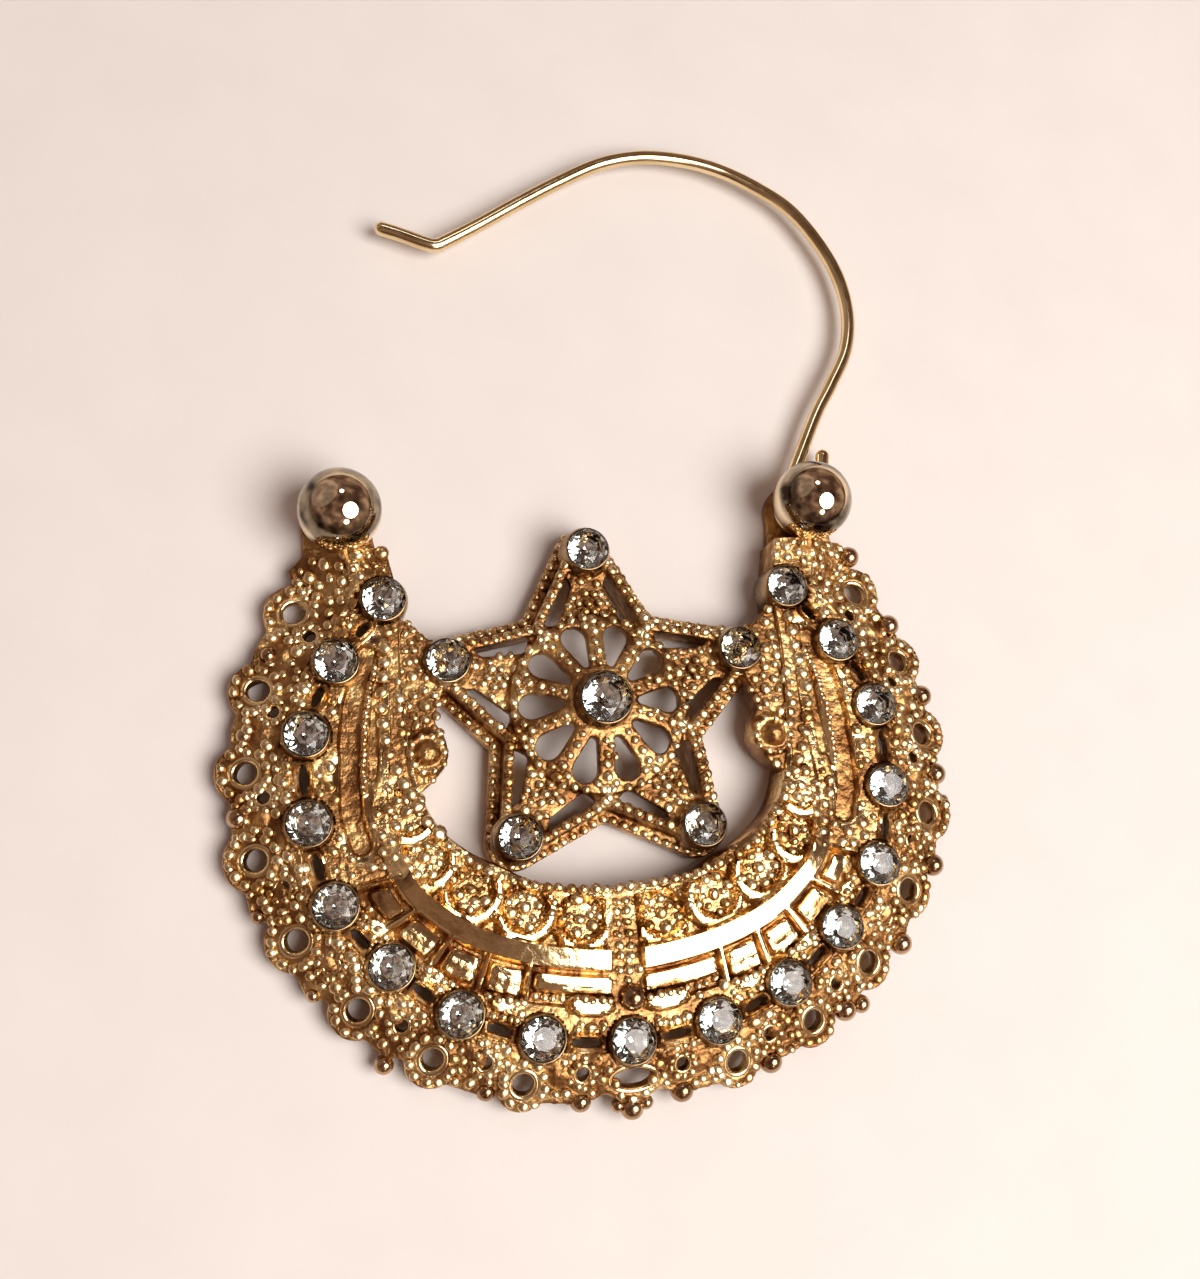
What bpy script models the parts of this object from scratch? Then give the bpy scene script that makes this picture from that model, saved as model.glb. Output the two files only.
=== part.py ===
"""Hoop earring: a cast crescent with a star, set with cut stones, on a hinged ear wire.

The earring lies on its back. +Z points out of its front, +Y towards the ear wire, and the origin
is at the middle of its length and width, on the plane that the back rests on. The sizes below
are in millimetres, and are counted from the middle of the star. Every piece is drawn with them,
and then scaled to metres and moved to its place when it is finished.
"""
import math

import bmesh
import bpy
from mathutils import Matrix

MM = 0.001
STAR_MIDDLE = (0.0, -6.0)

# Vertices nearer than this are one, and faces that differ less than this angle are one flat face
SAME_PLACE = 0.0001
FLAT_WITHIN = math.radians(0.4)

# Cut stones: round, with a table, a crown of facets and a pointed back
STONE_RADIUS = 1.1
CENTRE_STONE_RADIUS = 1.3
TABLE_SHARE = 0.56
CROWN_SHARE = 0.32
GIRDLE_SHARE = 0.09
BACK_SHARE = 0.62
GIRDLE_HEIGHT = 3.0
CENTRE_GIRDLE_HEIGHT = 4.1

# Cups: the stones sit in them with a small gap all round
STONE_GAP = 0.2
CUP_WALL = 0.2
CUP_BOTTOM = 0.9
STAR_CUP_BOTTOM = 1.35
CUP_TOP = 2.9
CUP_SIDES = 12
SEAT_FLOOR = {"radius": 0.3, "below_stone": 0.35}
SEAT_SHOULDER = 0.2
SEAT_ABOVE = 1.5
STONE_SIDES = 16

# Crescent: one half, a row for each stone from the bottom one up, and a last row for the neck
HALF_STATIONS = (
    {"inner": (0.0, -9.65), "rail": (0.0, -13.1), "stone": (0.0, -17.4), "edge": (0.0, -20.6)},
    {"inner": (3.8, -9.2), "rail": (4.3, -13.1), "stone": (4.6, -16.85), "edge": (5.8, -20.3)},
    {"inner": (6.1, -8.1), "rail": (7.6, -12.45), "stone": (8.6, -15.3), "edge": (10.7, -18.6)},
    {"inner": (7.7, -7.2), "rail": (9.8, -10.6), "stone": (11.85, -12.7), "edge": (14.7, -15.7)},
    {"inner": (9.1, -5.8), "rail": (11.2, -7.6), "stone": (14.4, -9.55), "edge": (17.9, -11.6)},
    {"inner": (9.9, -3.8), "rail": (11.6, -4.4), "stone": (15.5, -5.4), "edge": (19.6, -7.0)},
    {"inner": (10.3, -0.8), "rail": (11.2, -0.9), "stone": (15.4, -0.9), "edge": (20.0, -2.4)},
    {"inner": (10.4, 2.6), "rail": (11.1, 2.5), "stone": (13.7, 2.8), "edge": (19.0, 2.0)},
    {"inner": (10.3, 5.8), "rail": (10.6, 5.9), "stone": (11.1, 6.0), "edge": (17.2, 6.2)},
    {"inner": (10.8, 8.8), "rail": (11.3, 8.8), "stone": (12.0, 8.8), "edge": (15.3, 8.8)},
)
STONES_PER_HALF = 8
NECK_STATION = 9.0
SECTION_STEP = 0.75
AHEAD = 0.1

# Front face of the band: place across it (0 inner edge, 1 rail, 2 stone row, 3 lace edge) and height
BAND_TOP = (
    {"across": 0.0, "height": 2.8},
    {"across": 0.09, "height": 3.15},
    {"across": 0.2, "height": 2.8},
    {"across": 0.93, "height": 2.9},
    {"across": 0.96, "height": 3.4},
    {"across": 1.09, "height": 3.4},
    {"across": 1.12, "height": 2.85},
    {"across": 1.36, "height": 2.85},
    {"across": 1.43, "height": 3.2},
    {"across": 1.55, "height": 3.15},
    {"across": 1.62, "height": 2.75},
    {"across": 2.0, "height": 2.7},
    {"across": 2.3, "height": 2.45},
)
# Underside of the band, and the wall under its inner edge that the earring rests on
BAND_UNDERSIDE = (
    {"across": 2.3, "height": 1.7},
    {"across": 1.9, "height": 1.95},
)
WALL_SHARE = 0.085
WALL_TOP = 2.0
RIBS_FADE_FROM = 7.0
PLAIN_HEIGHT = 2.8
NECK_FOOT = 0.2

# Lace border: a sloping plate with a round eyelet outside each stone, and a bead between eyelets
LACE_EYELETS = (
    {"x": 0.0, "y": -19.2, "radius": 1.35, "hole": 0.5},
    {"x": 5.6, "y": -18.95, "radius": 1.4, "hole": 0.55},
    {"x": 10.0, "y": -17.3, "radius": 1.45, "hole": 0.55},
    {"x": 13.5, "y": -14.6, "radius": 1.5, "hole": 0.6},
    {"x": 16.3, "y": -11.0, "radius": 1.6, "hole": 0.6},
    {"x": 18.1, "y": -6.9, "radius": 1.65, "hole": 0.6},
    {"x": 18.4, "y": -2.5, "radius": 1.6, "hole": 0.6},
    {"x": 17.6, "y": 1.7, "radius": 1.55, "hole": 0.6},
    {"x": 15.6, "y": 5.75, "radius": 1.6, "hole": 0.6},
)
EYELET_FAN_CENTRE = (0.0, -3.8)
LACE_INSIDE = 2.2
LACE_TOP_AT_STONES = 2.85
LACE_SLOPE = 0.42
LACE_LOWEST_TOP = 1.25
LACE_THICKNESS = 0.8
LACE_END_ACROSS = 2.95
EYELET_STEP = 30.0
EYELET_HOLE_SIDES = 8
SMALL_HOLE = 0.36
SMALL_HOLE_ACROSS = 2.45
SMALL_HOLE_SIDES = 6
LACE_NOTCHES = (
    (2.7, -20.3), (7.7, -19.35), (12.2, -17.1), (15.9, -13.9), (18.4, -9.8), (19.3, -4.75),
    (19.1, -0.25), (17.7, 3.95), (15.8, 8.1),
)
EDGE_BEADS = LACE_NOTCHES + ((-2.7, -20.3), (-7.5, -19.3), (-19.3, -4.75))
EDGE_BEAD_RADIUS = 0.56
LACE_CREASES = 6
EDGE_BEAD_HEIGHT = 1.15
END_BEAD = {"x": 0.0, "y": -20.7, "radius": 0.75, "height": 1.1}
SLOT_LENGTH = 0.85
SLOT_WIDTH = 0.5
SLOT_REACH = (-1.0, 4.0)

# Star: five points, each with a stone near its tip
STAR_STONE_DISTANCE = 8.4
STAR_NOTCH_DISTANCE = 6.15
STAR_TIP_RADIUS = 1.55
STAR_SKIRT = {"inset": 0.0, "width": 0.6, "low": 0.3, "high": 2.05}
STAR_WALL = {"inset": 0.45, "width": 0.5, "low": 1.25, "high": 2.75}
WEB_INSET = 0.7
WEB_TOP = 2.35
FLOWER_EDGE_TOP = 2.5
FLOWER_RISE = 0.8
WEB_THICKNESS = 0.7
WEB_OPENING = 4.45
FLOWER_RADIUS = 4.75
FLOWER_SIDES = 20
GAP_OUTSIDE = {"inset": 0.85, "along": 1.2}
GAP_INSIDE = {"inset": 1.75, "along": 1.75}
GAP_POINT = 6.0
PETALS = 10
PETAL_START = 2.1
PETAL_END = 4.25
PETAL_WIDTH = 1.2
PETAL_NECK = 0.12
PETAL_ARC = {"start": 110.0, "step": 44.0, "points": 6}
COLLAR_LOW = 2.2
COLLAR_HIGH = 4.0
COLLAR_SIDES = 16

# Bridge between a side point of the star and the crescent, with a lobe on its lower half
BRIDGE = (
    (8.0, 3.7), (8.9, 3.9), (9.7, 4.7), (10.9, 5.4), (11.5, 0.0), (11.3, -4.0), (10.1, -4.4),
    (9.2, -3.7), (8.5, -3.0), (8.2, -2.3), (8.3, -1.4), (8.8, -0.5), (8.6, 0.4), (8.2, 1.2),
)
BRIDGE_LOW = 0.9
BRIDGE_HIGH = 2.45
LOBE = {"x": 9.35, "y": -2.2, "radius": 1.1, "low": 1.0, "height": 2.75, "ball": 0.62, "sides": 9}

# Relief of the crescent: scales with a rosette each, the key band's rungs and tiles, the dome
SCALES = ((2.0, -11.05), (4.95, -10.45), (7.55, -9.2), (9.5, -7.3), (10.3, -4.9))
SCALE_FAN_CENTRE = (0.0, 1.9)
SCALE_LEAN = 30.0
SCALE_RADIUS = 1.4
SCALE_HOLLOW = {"radius": 1.2, "shift": 0.35}
SCALE_STEP = 36.0
SCALE_LOW = 2.5
SCALE_HIGH = 3.3
ROSETTE_RADIUS = 0.48
ROSETTE_HEIGHT = 2.95
RUNG_STATIONS = (1.15, 1.86, 2.55, 3.26, 3.85)
RUNG_WIDTH = 0.36
RUNG_HIGH = 3.3
TILES = (
    {"station": 0.62, "length": 3.2, "width": 1.05},
    {"station": 1.51, "length": 1.7, "width": 1.05},
    {"station": 2.2, "length": 1.5, "width": 1.0},
    {"station": 2.9, "length": 1.4, "width": 0.95},
    {"station": 3.55, "length": 1.2, "width": 0.9},
)
TILE_HIGH = 3.08
RELIEF_LOW = 2.4
TILE_LOW = 2.5
CHANNEL = (1.06, 1.4)
CHANNEL_MIDDLE = 1.25
AXIS_DOME = {"y": -15.05, "radius": 0.85, "height": 2.75, "facets": (10, 5)}
AXIS_LOZENGE = {"y": -13.85, "size": 0.7, "high": 3.35}
CASTING_LUMPS = (
    {"x": -12.35, "y": -17.45, "size": 0.9, "turn": 25.0},
    {"x": 13.15, "y": -16.85, "size": 0.95, "turn": 20.0},
)
LUMP_LOW = 0.4
LUMP_HIGH = 1.3

# End plates, posts and balls
POST = (13.1, 10.8)
PLATE_RADIUS = 1.9
PLATE_THICKNESS = 0.55
PLATE_ROOT = ((10.9, 7.6), (15.1, 7.6))
PLATE_ARC = {"start": -20.0, "step": 22.0, "points": 11}
POST_RADIUS = 0.5
POST_FOOT = 0.3
POST_SIDES = 12
BALL_RADIUS = 2.2
BALL_HEIGHT = 3.2
BALL_SEAT = 1.95
BALL_FACETS = (12, 8)

# Ear wire: it comes down to the right post, bends round it and ends in a short stub
WIRE_RADIUS = 0.4
WIRE_HEIGHT = 1.25
EYE_RADIUS = 1.2
STUB_TIP = (14.95, 14.5)
WIRE_ARCH = (
    (13.35, 13.85), (14.8, 16.65), (16.0, 18.55), (17.2, 20.7), (17.65, 23.0), (17.35, 25.4),
    (16.4, 27.6), (14.9, 29.7), (13.0, 31.1), (10.7, 32.25), (8.3, 32.85), (5.8, 32.95),
    (3.3, 32.4), (0.8, 31.2), (-1.7, 29.8), (-4.3, 28.25), (-6.2, 27.2),
)
WIRE_TAIL = ((-6.75, 26.98), (-7.4, 27.12), (-8.9, 27.68), (-10.1, 28.05))
ARCH_POINTS = 40
EYE_POINTS = 12

GOLD = (0.83, 0.56, 0.22, 1.0)
WIRE_GOLD = (0.78, 0.58, 0.27, 1.0)
STONE_COLOUR = (0.86, 0.88, 0.92, 1.0)


def clear_scene():
    for item in list(bpy.data.objects):
        bpy.data.objects.remove(item, do_unlink=True)


def new_collection(name):
    collection = bpy.data.collections.new(name)
    bpy.context.scene.collection.children.link(collection)
    return collection


def new_material(name, colour, metallic, roughness):
    material = bpy.data.materials.new(name)
    material.use_nodes = True
    shader = material.node_tree.nodes["Principled BSDF"]
    shader.inputs["Base Color"].default_value = colour
    shader.inputs["Metallic"].default_value = metallic
    shader.inputs["Roughness"].default_value = roughness
    return material


def mesh_from(bm, name):
    mesh = bpy.data.meshes.new(name)
    bm.to_mesh(mesh)
    bm.free()
    return mesh


def polar(radius, angle, centre=(0.0, 0.0)):
    """Point at an angle in degrees, counted anticlockwise from +X."""
    a = math.radians(angle)
    return (centre[0] + radius * math.cos(a), centre[1] + radius * math.sin(a))


def direction(start, end):
    """Angle in degrees from +X of the way from start to end."""
    return math.degrees(math.atan2(end[1] - start[1], end[0] - start[0]))


def circle(centre, radius, sides):
    return [polar(radius, 360.0 * i / sides, centre) for i in range(sides)]


def mirrored(points):
    return [(-x, y) for x, y in points]


def both_sides(points):
    """The points and their mirror images; a point on the axis stays single."""
    return list(points) + mirrored([p for p in points if p[0] > 0.01])


def smooth_curve(points, t, before):
    """Catmull-Rom curve through the points, with t counted in points."""
    last = len(points) - 1
    i = max(0, min(int(t), last - 1))
    f = t - i
    a = points[i - 1] if i > 0 else before
    b, c = points[i], points[i + 1]
    d = points[i + 2] if i + 2 <= last else [2 * c[n] - b[n] for n in (0, 1)]
    values = []
    for n in (0, 1):
        values.append(0.5 * (2 * b[n] + (c[n] - a[n]) * f
                             + (2 * a[n] - 5 * b[n] + 4 * c[n] - d[n]) * f ** 2
                             + (3 * b[n] - a[n] - 3 * c[n] + d[n]) * f ** 3))
    return tuple(values)


def crescent_point(station, across):
    """Place on the crescent: station 0 is the bottom stone, and the left half is negative."""
    columns = ("inner", "rail", "stone", "edge")
    zone = min(int(across), 2)
    share = across - zone
    ends = []
    for column in columns[zone:zone + 2]:
        line = [row[column] for row in HALF_STATIONS]
        ends.append(smooth_curve(line, abs(station), (-line[1][0], line[1][1])))
    x, y = (ends[0][n] + (ends[1][n] - ends[0][n]) * share for n in (0, 1))
    return (math.copysign(1.0, station) * x, y)


def stone_places():
    """Middle of each crescent stone, from the left tip round to the right tip."""
    half = [row["stone"] for row in HALF_STATIONS[:STONES_PER_HALF + 1]]
    return mirrored(half[:0:-1]) + half


def star_stone_places():
    """Middle of each star stone, clockwise from the top one."""
    return [polar(STAR_STONE_DISTANCE, 90.0 - 72.0 * i) for i in range(5)]


def hull_of_rings(profile, sides, centre=(0.0, 0.0)):
    """Convex solid through rings of points, given as radius, height, sides share and turn."""
    bm = bmesh.new()
    for radius, height, share, turn in profile:
        count = max(1, sides // share) if radius > 0.0 else 1
        for i in range(count):
            x, y = polar(radius, turn + 360.0 * i / count, centre)
            bm.verts.new((x, y, height))
    bmesh.ops.convex_hull(bm, input=bm.verts, use_existing_faces=False)
    bmesh.ops.triangulate(bm, faces=bm.faces)
    bmesh.ops.recalc_face_normals(bm, faces=bm.faces)
    return bm


def cylinder(centre, radius, low, high, sides):
    bm = bmesh.new()
    place = Matrix.Translation((centre[0], centre[1], 0.5 * (low + high)))
    bmesh.ops.create_cone(bm, cap_ends=True, segments=sides, radius1=radius, radius2=radius,
                          depth=high - low, matrix=place)
    return bm


def ball(centre, radius, height, segments=7, ring_count=4):
    bm = bmesh.new()
    place = Matrix.Translation((centre[0], centre[1], height))
    bmesh.ops.create_uvsphere(bm, u_segments=segments, v_segments=ring_count, radius=radius,
                              matrix=place)
    return bm


def box(centre, length, width, low, high, turn):
    """Block whose length lies along the direction turn, in degrees from +X."""
    bm = bmesh.new()
    place = (Matrix.Translation((centre[0], centre[1], 0.5 * (low + high)))
             @ Matrix.Rotation(math.radians(turn), 4, "Z")
             @ Matrix.Diagonal((length, width, high - low, 1.0)))
    bmesh.ops.create_cube(bm, size=1.0, matrix=place)
    return bm


def plate(outlines, low, high):
    """Flat plate: its first outline is its edge, and the others are holes through it."""
    curve = bpy.data.curves.new("outline", "CURVE")
    curve.dimensions = "2D"
    curve.fill_mode = "BOTH"
    curve.extrude = 0.5 * (high - low)
    for outline in outlines:
        spline = curve.splines.new("POLY")
        spline.points.add(len(outline) - 1)
        for point, (x, y) in zip(spline.points, outline):
            point.co = (x, y, 0.0, 1.0)
        spline.use_cyclic_u = True
    guide = bpy.data.objects.new("outline", curve)
    bpy.context.scene.collection.objects.link(guide)
    evaluated = guide.evaluated_get(bpy.context.evaluated_depsgraph_get())
    mesh = bpy.data.meshes.new_from_object(evaluated)
    bpy.data.objects.remove(guide, do_unlink=True)
    bpy.data.curves.remove(curve)
    bm = bmesh.new()
    bm.from_mesh(mesh)
    bpy.data.meshes.remove(mesh)
    bmesh.ops.remove_doubles(bm, verts=bm.verts, dist=SAME_PLACE)
    bmesh.ops.translate(bm, verts=bm.verts, vec=(0.0, 0.0, 0.5 * (low + high)))
    bmesh.ops.recalc_face_normals(bm, faces=bm.faces)
    return bm


def shifted(vertices, heights):
    """Move each vertex up by the height that the function gives for its place."""
    for vertex in vertices:
        vertex.co.z += heights(vertex.co.x, vertex.co.y)


def join(pieces):
    """One bmesh that holds all the pieces."""
    joined = bmesh.new()
    for piece in pieces:
        mesh = mesh_from(piece, "piece")
        joined.from_mesh(mesh)
        bpy.data.meshes.remove(mesh)
    return joined


def combine(base, other, operation, overlapping):
    """Boolean of two bmeshes; overlapping is for a second one whose pieces cross each other."""
    objects = []
    for name, bm in (("base", base), ("other", other)):
        item = bpy.data.objects.new(name, mesh_from(bm, name))
        bpy.context.scene.collection.objects.link(item)
        objects.append(item)
    modifier = objects[0].modifiers.new("boolean", "BOOLEAN")
    modifier.operation = operation
    modifier.solver = "EXACT"
    modifier.object = objects[1]
    modifier.use_self = overlapping
    evaluated = objects[0].evaluated_get(bpy.context.evaluated_depsgraph_get())
    mesh = bpy.data.meshes.new_from_object(evaluated)
    result = bmesh.new()
    result.from_mesh(mesh)
    bpy.data.meshes.remove(mesh)
    for item in objects:
        used = item.data
        bpy.data.objects.remove(item, do_unlink=True)
        bpy.data.meshes.remove(used)
    return result


def crescent_band():
    """The crescent's shell: a wall along its inner edge and a ribbed front, lofted in sections."""
    bm = bmesh.new()
    sections = []
    for i in range(int(round(2 * NECK_STATION / SECTION_STEP)) + 1):
        station = -NECK_STATION + i * SECTION_STEP
        fade = max(0.0, min(1.0, RIBS_FADE_FROM + 1.0 - abs(station)))
        drop = max(0.0, abs(station) - NECK_STATION + 1.0)
        inner, edge = crescent_point(station, 0.0), crescent_point(station, 3.0)
        wall = tuple(inner[n] + WALL_SHARE * (edge[n] - inner[n]) for n in (0, 1))
        line = [(crescent_point(station, row["across"]),
                 PLAIN_HEIGHT + (row["height"] - PLAIN_HEIGHT) * fade) for row in BAND_TOP]
        below = [(crescent_point(station, row["across"]), row["height"]) for row in BAND_UNDERSIDE]
        below += [(wall, WALL_TOP), (wall, 0.0), (inner, 0.0)]
        line += [(place, height + (NECK_FOOT - height) * drop) for place, height in below]
        sections.append([bm.verts.new((*place, height)) for place, height in line])
    for here, ahead in zip(sections, sections[1:]):
        for n, vertex in enumerate(here):
            m = (n + 1) % len(here)
            bm.faces.new((vertex, here[m], ahead[m], ahead[n]))
    bm.faces.new(sections[0][::-1])
    bm.faces.new(sections[-1])
    bmesh.ops.triangulate(bm, faces=bm.faces, ngon_method="EAR_CLIP")
    bmesh.ops.recalc_face_normals(bm, faces=bm.faces)
    return bm


def lace_top(x, y):
    """Height of the lace's front, which slopes down outwards from the stone row."""
    nearest = min(math.dist((abs(x), y), crescent_point(0.25 * n, 2.0))
                  for n in range(int(4 * NECK_STATION) + 1))
    return max(LACE_LOWEST_TOP, LACE_TOP_AT_STONES - LACE_SLOPE * nearest)


def lace_outline():
    """Scalloped outer edge from the left neck to the right, and back just outside the stones."""
    right = []
    for eyelet, notch in zip(LACE_EYELETS, LACE_NOTCHES):
        centre = (eyelet["x"], eyelet["y"])
        outward = direction(EYELET_FAN_CENTRE, centre)
        first = -2 if centre[0] > 0.0 else 0
        right += [polar(eyelet["radius"], outward + EYELET_STEP * n, centre)
                  for n in range(first, 3)]
        right.append(notch)
    right.append(crescent_point(NECK_STATION, LACE_END_ACROSS))
    inside = [crescent_point(SECTION_STEP * n, LACE_INSIDE)
              for n in range(int(NECK_STATION / SECTION_STEP), -1, -1)]
    return mirrored(right[:0:-1]) + right + inside + mirrored(inside[-2::-1])


def lace():
    holes = []
    for eyelet in LACE_EYELETS:
        for centre in both_sides([(eyelet["x"], eyelet["y"])]):
            holes.append(circle(centre, eyelet["hole"], EYELET_HOLE_SIDES))
    for n in range(STONES_PER_HALF):
        for centre in both_sides([crescent_point(n + 0.5, SMALL_HOLE_ACROSS)]):
            holes.append(circle(centre, SMALL_HOLE, SMALL_HOLE_SIDES))
    bm = plate([lace_outline()] + holes, -LACE_THICKNESS, 0.0)
    for n in range(LACE_CREASES):
        across = polar(1.0, 180.0 * (n + 0.5) / LACE_CREASES + 90.0)
        bmesh.ops.bisect_plane(bm, geom=bm.verts[:] + bm.edges[:] + bm.faces[:], dist=SAME_PLACE,
                               plane_co=(*EYELET_FAN_CENTRE, 0.0), plane_no=(*across, 0.0))
    shifted(bm.verts, lace_top)
    return bm


def edge_beads():
    pieces = [ball(place, EDGE_BEAD_RADIUS, EDGE_BEAD_HEIGHT) for place in EDGE_BEADS]
    pieces.append(ball((END_BEAD["x"], END_BEAD["y"]), END_BEAD["radius"], END_BEAD["height"]))
    for lump in CASTING_LUMPS:
        pieces.append(box((lump["x"], lump["y"]), lump["size"], lump["size"], LUMP_LOW, LUMP_HIGH,
                          lump["turn"]))
    return pieces


def cups():
    radius = STONE_RADIUS + STONE_GAP + CUP_WALL
    pieces = [cylinder(place, radius, CUP_BOTTOM, CUP_TOP, CUP_SIDES) for place in stone_places()]
    pieces += [cylinder(place, radius, STAR_CUP_BOTTOM, CUP_TOP, CUP_SIDES)
               for place in star_stone_places()]
    collar = CENTRE_STONE_RADIUS + STONE_GAP + CUP_WALL
    pieces.append(cylinder((0.0, 0.0), collar, COLLAR_LOW, COLLAR_HIGH, COLLAR_SIDES))
    return pieces


def star_side():
    """Direction of the side of a star point that lies along +X."""
    notch = polar(STAR_NOTCH_DISTANCE, 36.0)
    stone = (STAR_STONE_DISTANCE, 0.0)
    return direction(notch, stone) + math.degrees(math.asin(STAR_TIP_RADIUS / math.dist(notch, stone)))


def notch_distance(inset):
    return STAR_NOTCH_DISTANCE - inset / math.sin(math.radians(36.0 - star_side()))


def star_outline(inset):
    """Star with rounded tips, drawn clockwise, inset from its outer edge."""
    half_arc = 90.0 + star_side()
    points = []
    for arm in range(5):
        turn = 90.0 - 72.0 * arm
        centre = polar(STAR_STONE_DISTANCE, turn)
        for n in range(-2, 3):
            points.append(polar(STAR_TIP_RADIUS - inset, turn - half_arc * n / 2.0, centre))
        points.append(polar(notch_distance(inset), turn - 36.0))
    return points


def side_point(row):
    """Place on a line inset from a side, for a star point that lies along +X."""
    start = polar(notch_distance(row["inset"]), 36.0)
    return polar(row["along"], star_side(), start)


def turned(points, angle):
    return [polar(math.hypot(x, y), math.degrees(math.atan2(y, x)) + angle) for x, y in points]


def arm_gap(angle):
    """Pierced gap under a star stone, between the rim and the flower."""
    start, inside = side_point(GAP_OUTSIDE), side_point(GAP_INSIDE)
    end = polar(STAR_TIP_RADIUS - GAP_OUTSIDE["inset"], 90.0 + star_side(),
                (STAR_STONE_DISTANCE, 0.0))
    half = [start, end]
    points = half + [(x, -y) for x, y in half[::-1]]
    points += [(inside[0], -inside[1]), (GAP_POINT, 0.0), inside]
    return turned(points, angle)


def petal(angle):
    """Pear-shaped hole of the flower, narrow towards the centre stone."""
    middle = PETAL_END - 0.5 * PETAL_WIDTH
    points = [(PETAL_START, -PETAL_NECK), (PETAL_START, PETAL_NECK)]
    points += [polar(0.5 * PETAL_WIDTH, PETAL_ARC["start"] - PETAL_ARC["step"] * n, (middle, 0.0))
               for n in range(PETAL_ARC["points"])]
    return turned(points, angle)


def star_web():
    """The star's pierced face, with a round opening that the flower stands over."""
    holes = [arm_gap(90.0 - 72.0 * arm) for arm in range(5)]
    holes.append(circle((0.0, 0.0), WEB_OPENING, FLOWER_SIDES))
    return plate([star_outline(WEB_INSET)] + holes, WEB_TOP - WEB_THICKNESS, WEB_TOP)


def flower_top(x, y):
    """Height of the flower's domed front."""
    return FLOWER_EDGE_TOP + FLOWER_RISE * (1.0 - (x ** 2 + y ** 2) / FLOWER_RADIUS ** 2)


def flower():
    """Domed disc with pear-shaped holes round the centre stone."""
    holes = [petal(360.0 * n / PETALS) for n in range(PETALS)]
    bm = plate([circle((0.0, 0.0), FLOWER_RADIUS, FLOWER_SIDES)] + holes, -WEB_THICKNESS, 0.0)
    shifted(bm.verts, flower_top)
    return bm


def star_rim(row):
    outlines = [star_outline(row["inset"]), star_outline(row["inset"] + row["width"])]
    return plate(outlines, row["low"], row["high"])


def bridges():
    pieces = []
    for outline in (list(BRIDGE), mirrored(BRIDGE)):
        pieces.append(plate([outline], BRIDGE_LOW, BRIDGE_HIGH))
    for place in both_sides([(LOBE["x"], LOBE["y"])]):
        pieces.append(cylinder(place, LOBE["radius"], LOBE["low"], LOBE["height"], LOBE["sides"]))
        pieces.append(ball(place, LOBE["ball"], LOBE["height"]))
    return pieces


def scale(place):
    """Raised crescent round the outer side of a scale, thickest towards the earring's axis."""
    lean = -SCALE_LEAN if place[0] > 0.0 else SCALE_LEAN
    facing = direction(SCALE_FAN_CENTRE, place) + lean
    hollow = polar(-SCALE_HOLLOW["shift"], facing, place)
    outer = [polar(SCALE_RADIUS, facing + SCALE_STEP * n, place) for n in range(-3, 4)]
    inner = [polar(SCALE_HOLLOW["radius"], facing + SCALE_STEP * n, hollow)
             for n in range(2, -3, -1)]
    return plate([outer + inner], SCALE_LOW, SCALE_HIGH)


def scales():
    pieces = []
    for place in both_sides(SCALES):
        pieces.append(scale(place))
        pieces.append(ball(place, ROSETTE_RADIUS, ROSETTE_HEIGHT))
    return pieces


def key_band():
    """Rungs and tiles in the channel between the rail and the ribs, and the axis ornaments."""
    pieces = []
    for side in (-1.0, 1.0):
        for station in RUNG_STATIONS:
            start, end = (crescent_point(side * station, across) for across in CHANNEL)
            middle = [0.5 * (start[n] + end[n]) for n in (0, 1)]
            pieces.append(box(middle, math.dist(start, end), RUNG_WIDTH, RELIEF_LOW, RUNG_HIGH,
                              direction(start, end)))
        for tile in TILES:
            place = crescent_point(side * tile["station"], CHANNEL_MIDDLE)
            ahead = crescent_point(side * (tile["station"] + AHEAD), CHANNEL_MIDDLE)
            pieces.append(box(place, tile["length"], tile["width"], TILE_LOW, TILE_HIGH,
                              direction(place, ahead)))
    pieces.append(ball((0.0, AXIS_DOME["y"]), AXIS_DOME["radius"], AXIS_DOME["height"],
                       *AXIS_DOME["facets"]))
    pieces.append(box((0.0, AXIS_LOZENGE["y"]), AXIS_LOZENGE["size"], AXIS_LOZENGE["size"],
                      RELIEF_LOW, AXIS_LOZENGE["high"], 45.0))
    return pieces


def ends():
    """End plates under the balls, the posts, and the balls with their flat seats."""
    outline = list(PLATE_ROOT)
    outline += [polar(PLATE_RADIUS, PLATE_ARC["start"] + PLATE_ARC["step"] * n, POST)
                for n in range(PLATE_ARC["points"])]
    pieces = []
    for points, place in ((outline, POST), (mirrored(outline), (-POST[0], POST[1]))):
        pieces.append(plate([points], 0.0, PLATE_THICKNESS))
        pieces.append(cylinder(place, POST_RADIUS, POST_FOOT, BALL_HEIGHT, POST_SIDES))
        round_ball = ball(place, BALL_RADIUS, BALL_HEIGHT, *BALL_FACETS)
        cut = bmesh.ops.bisect_plane(round_ball, geom=round_ball.verts[:] + round_ball.edges[:]
                                     + round_ball.faces[:], plane_co=(0.0, 0.0, BALL_SEAT),
                                     plane_no=(0.0, 0.0, -1.0), clear_outer=True)
        rim = [e for e in cut["geom_cut"] if isinstance(e, bmesh.types.BMEdge)]
        bmesh.ops.contextual_create(round_ball, geom=rim)
        bmesh.ops.recalc_face_normals(round_ball, faces=round_ball.faces)
        pieces.append(round_ball)
    return pieces


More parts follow.
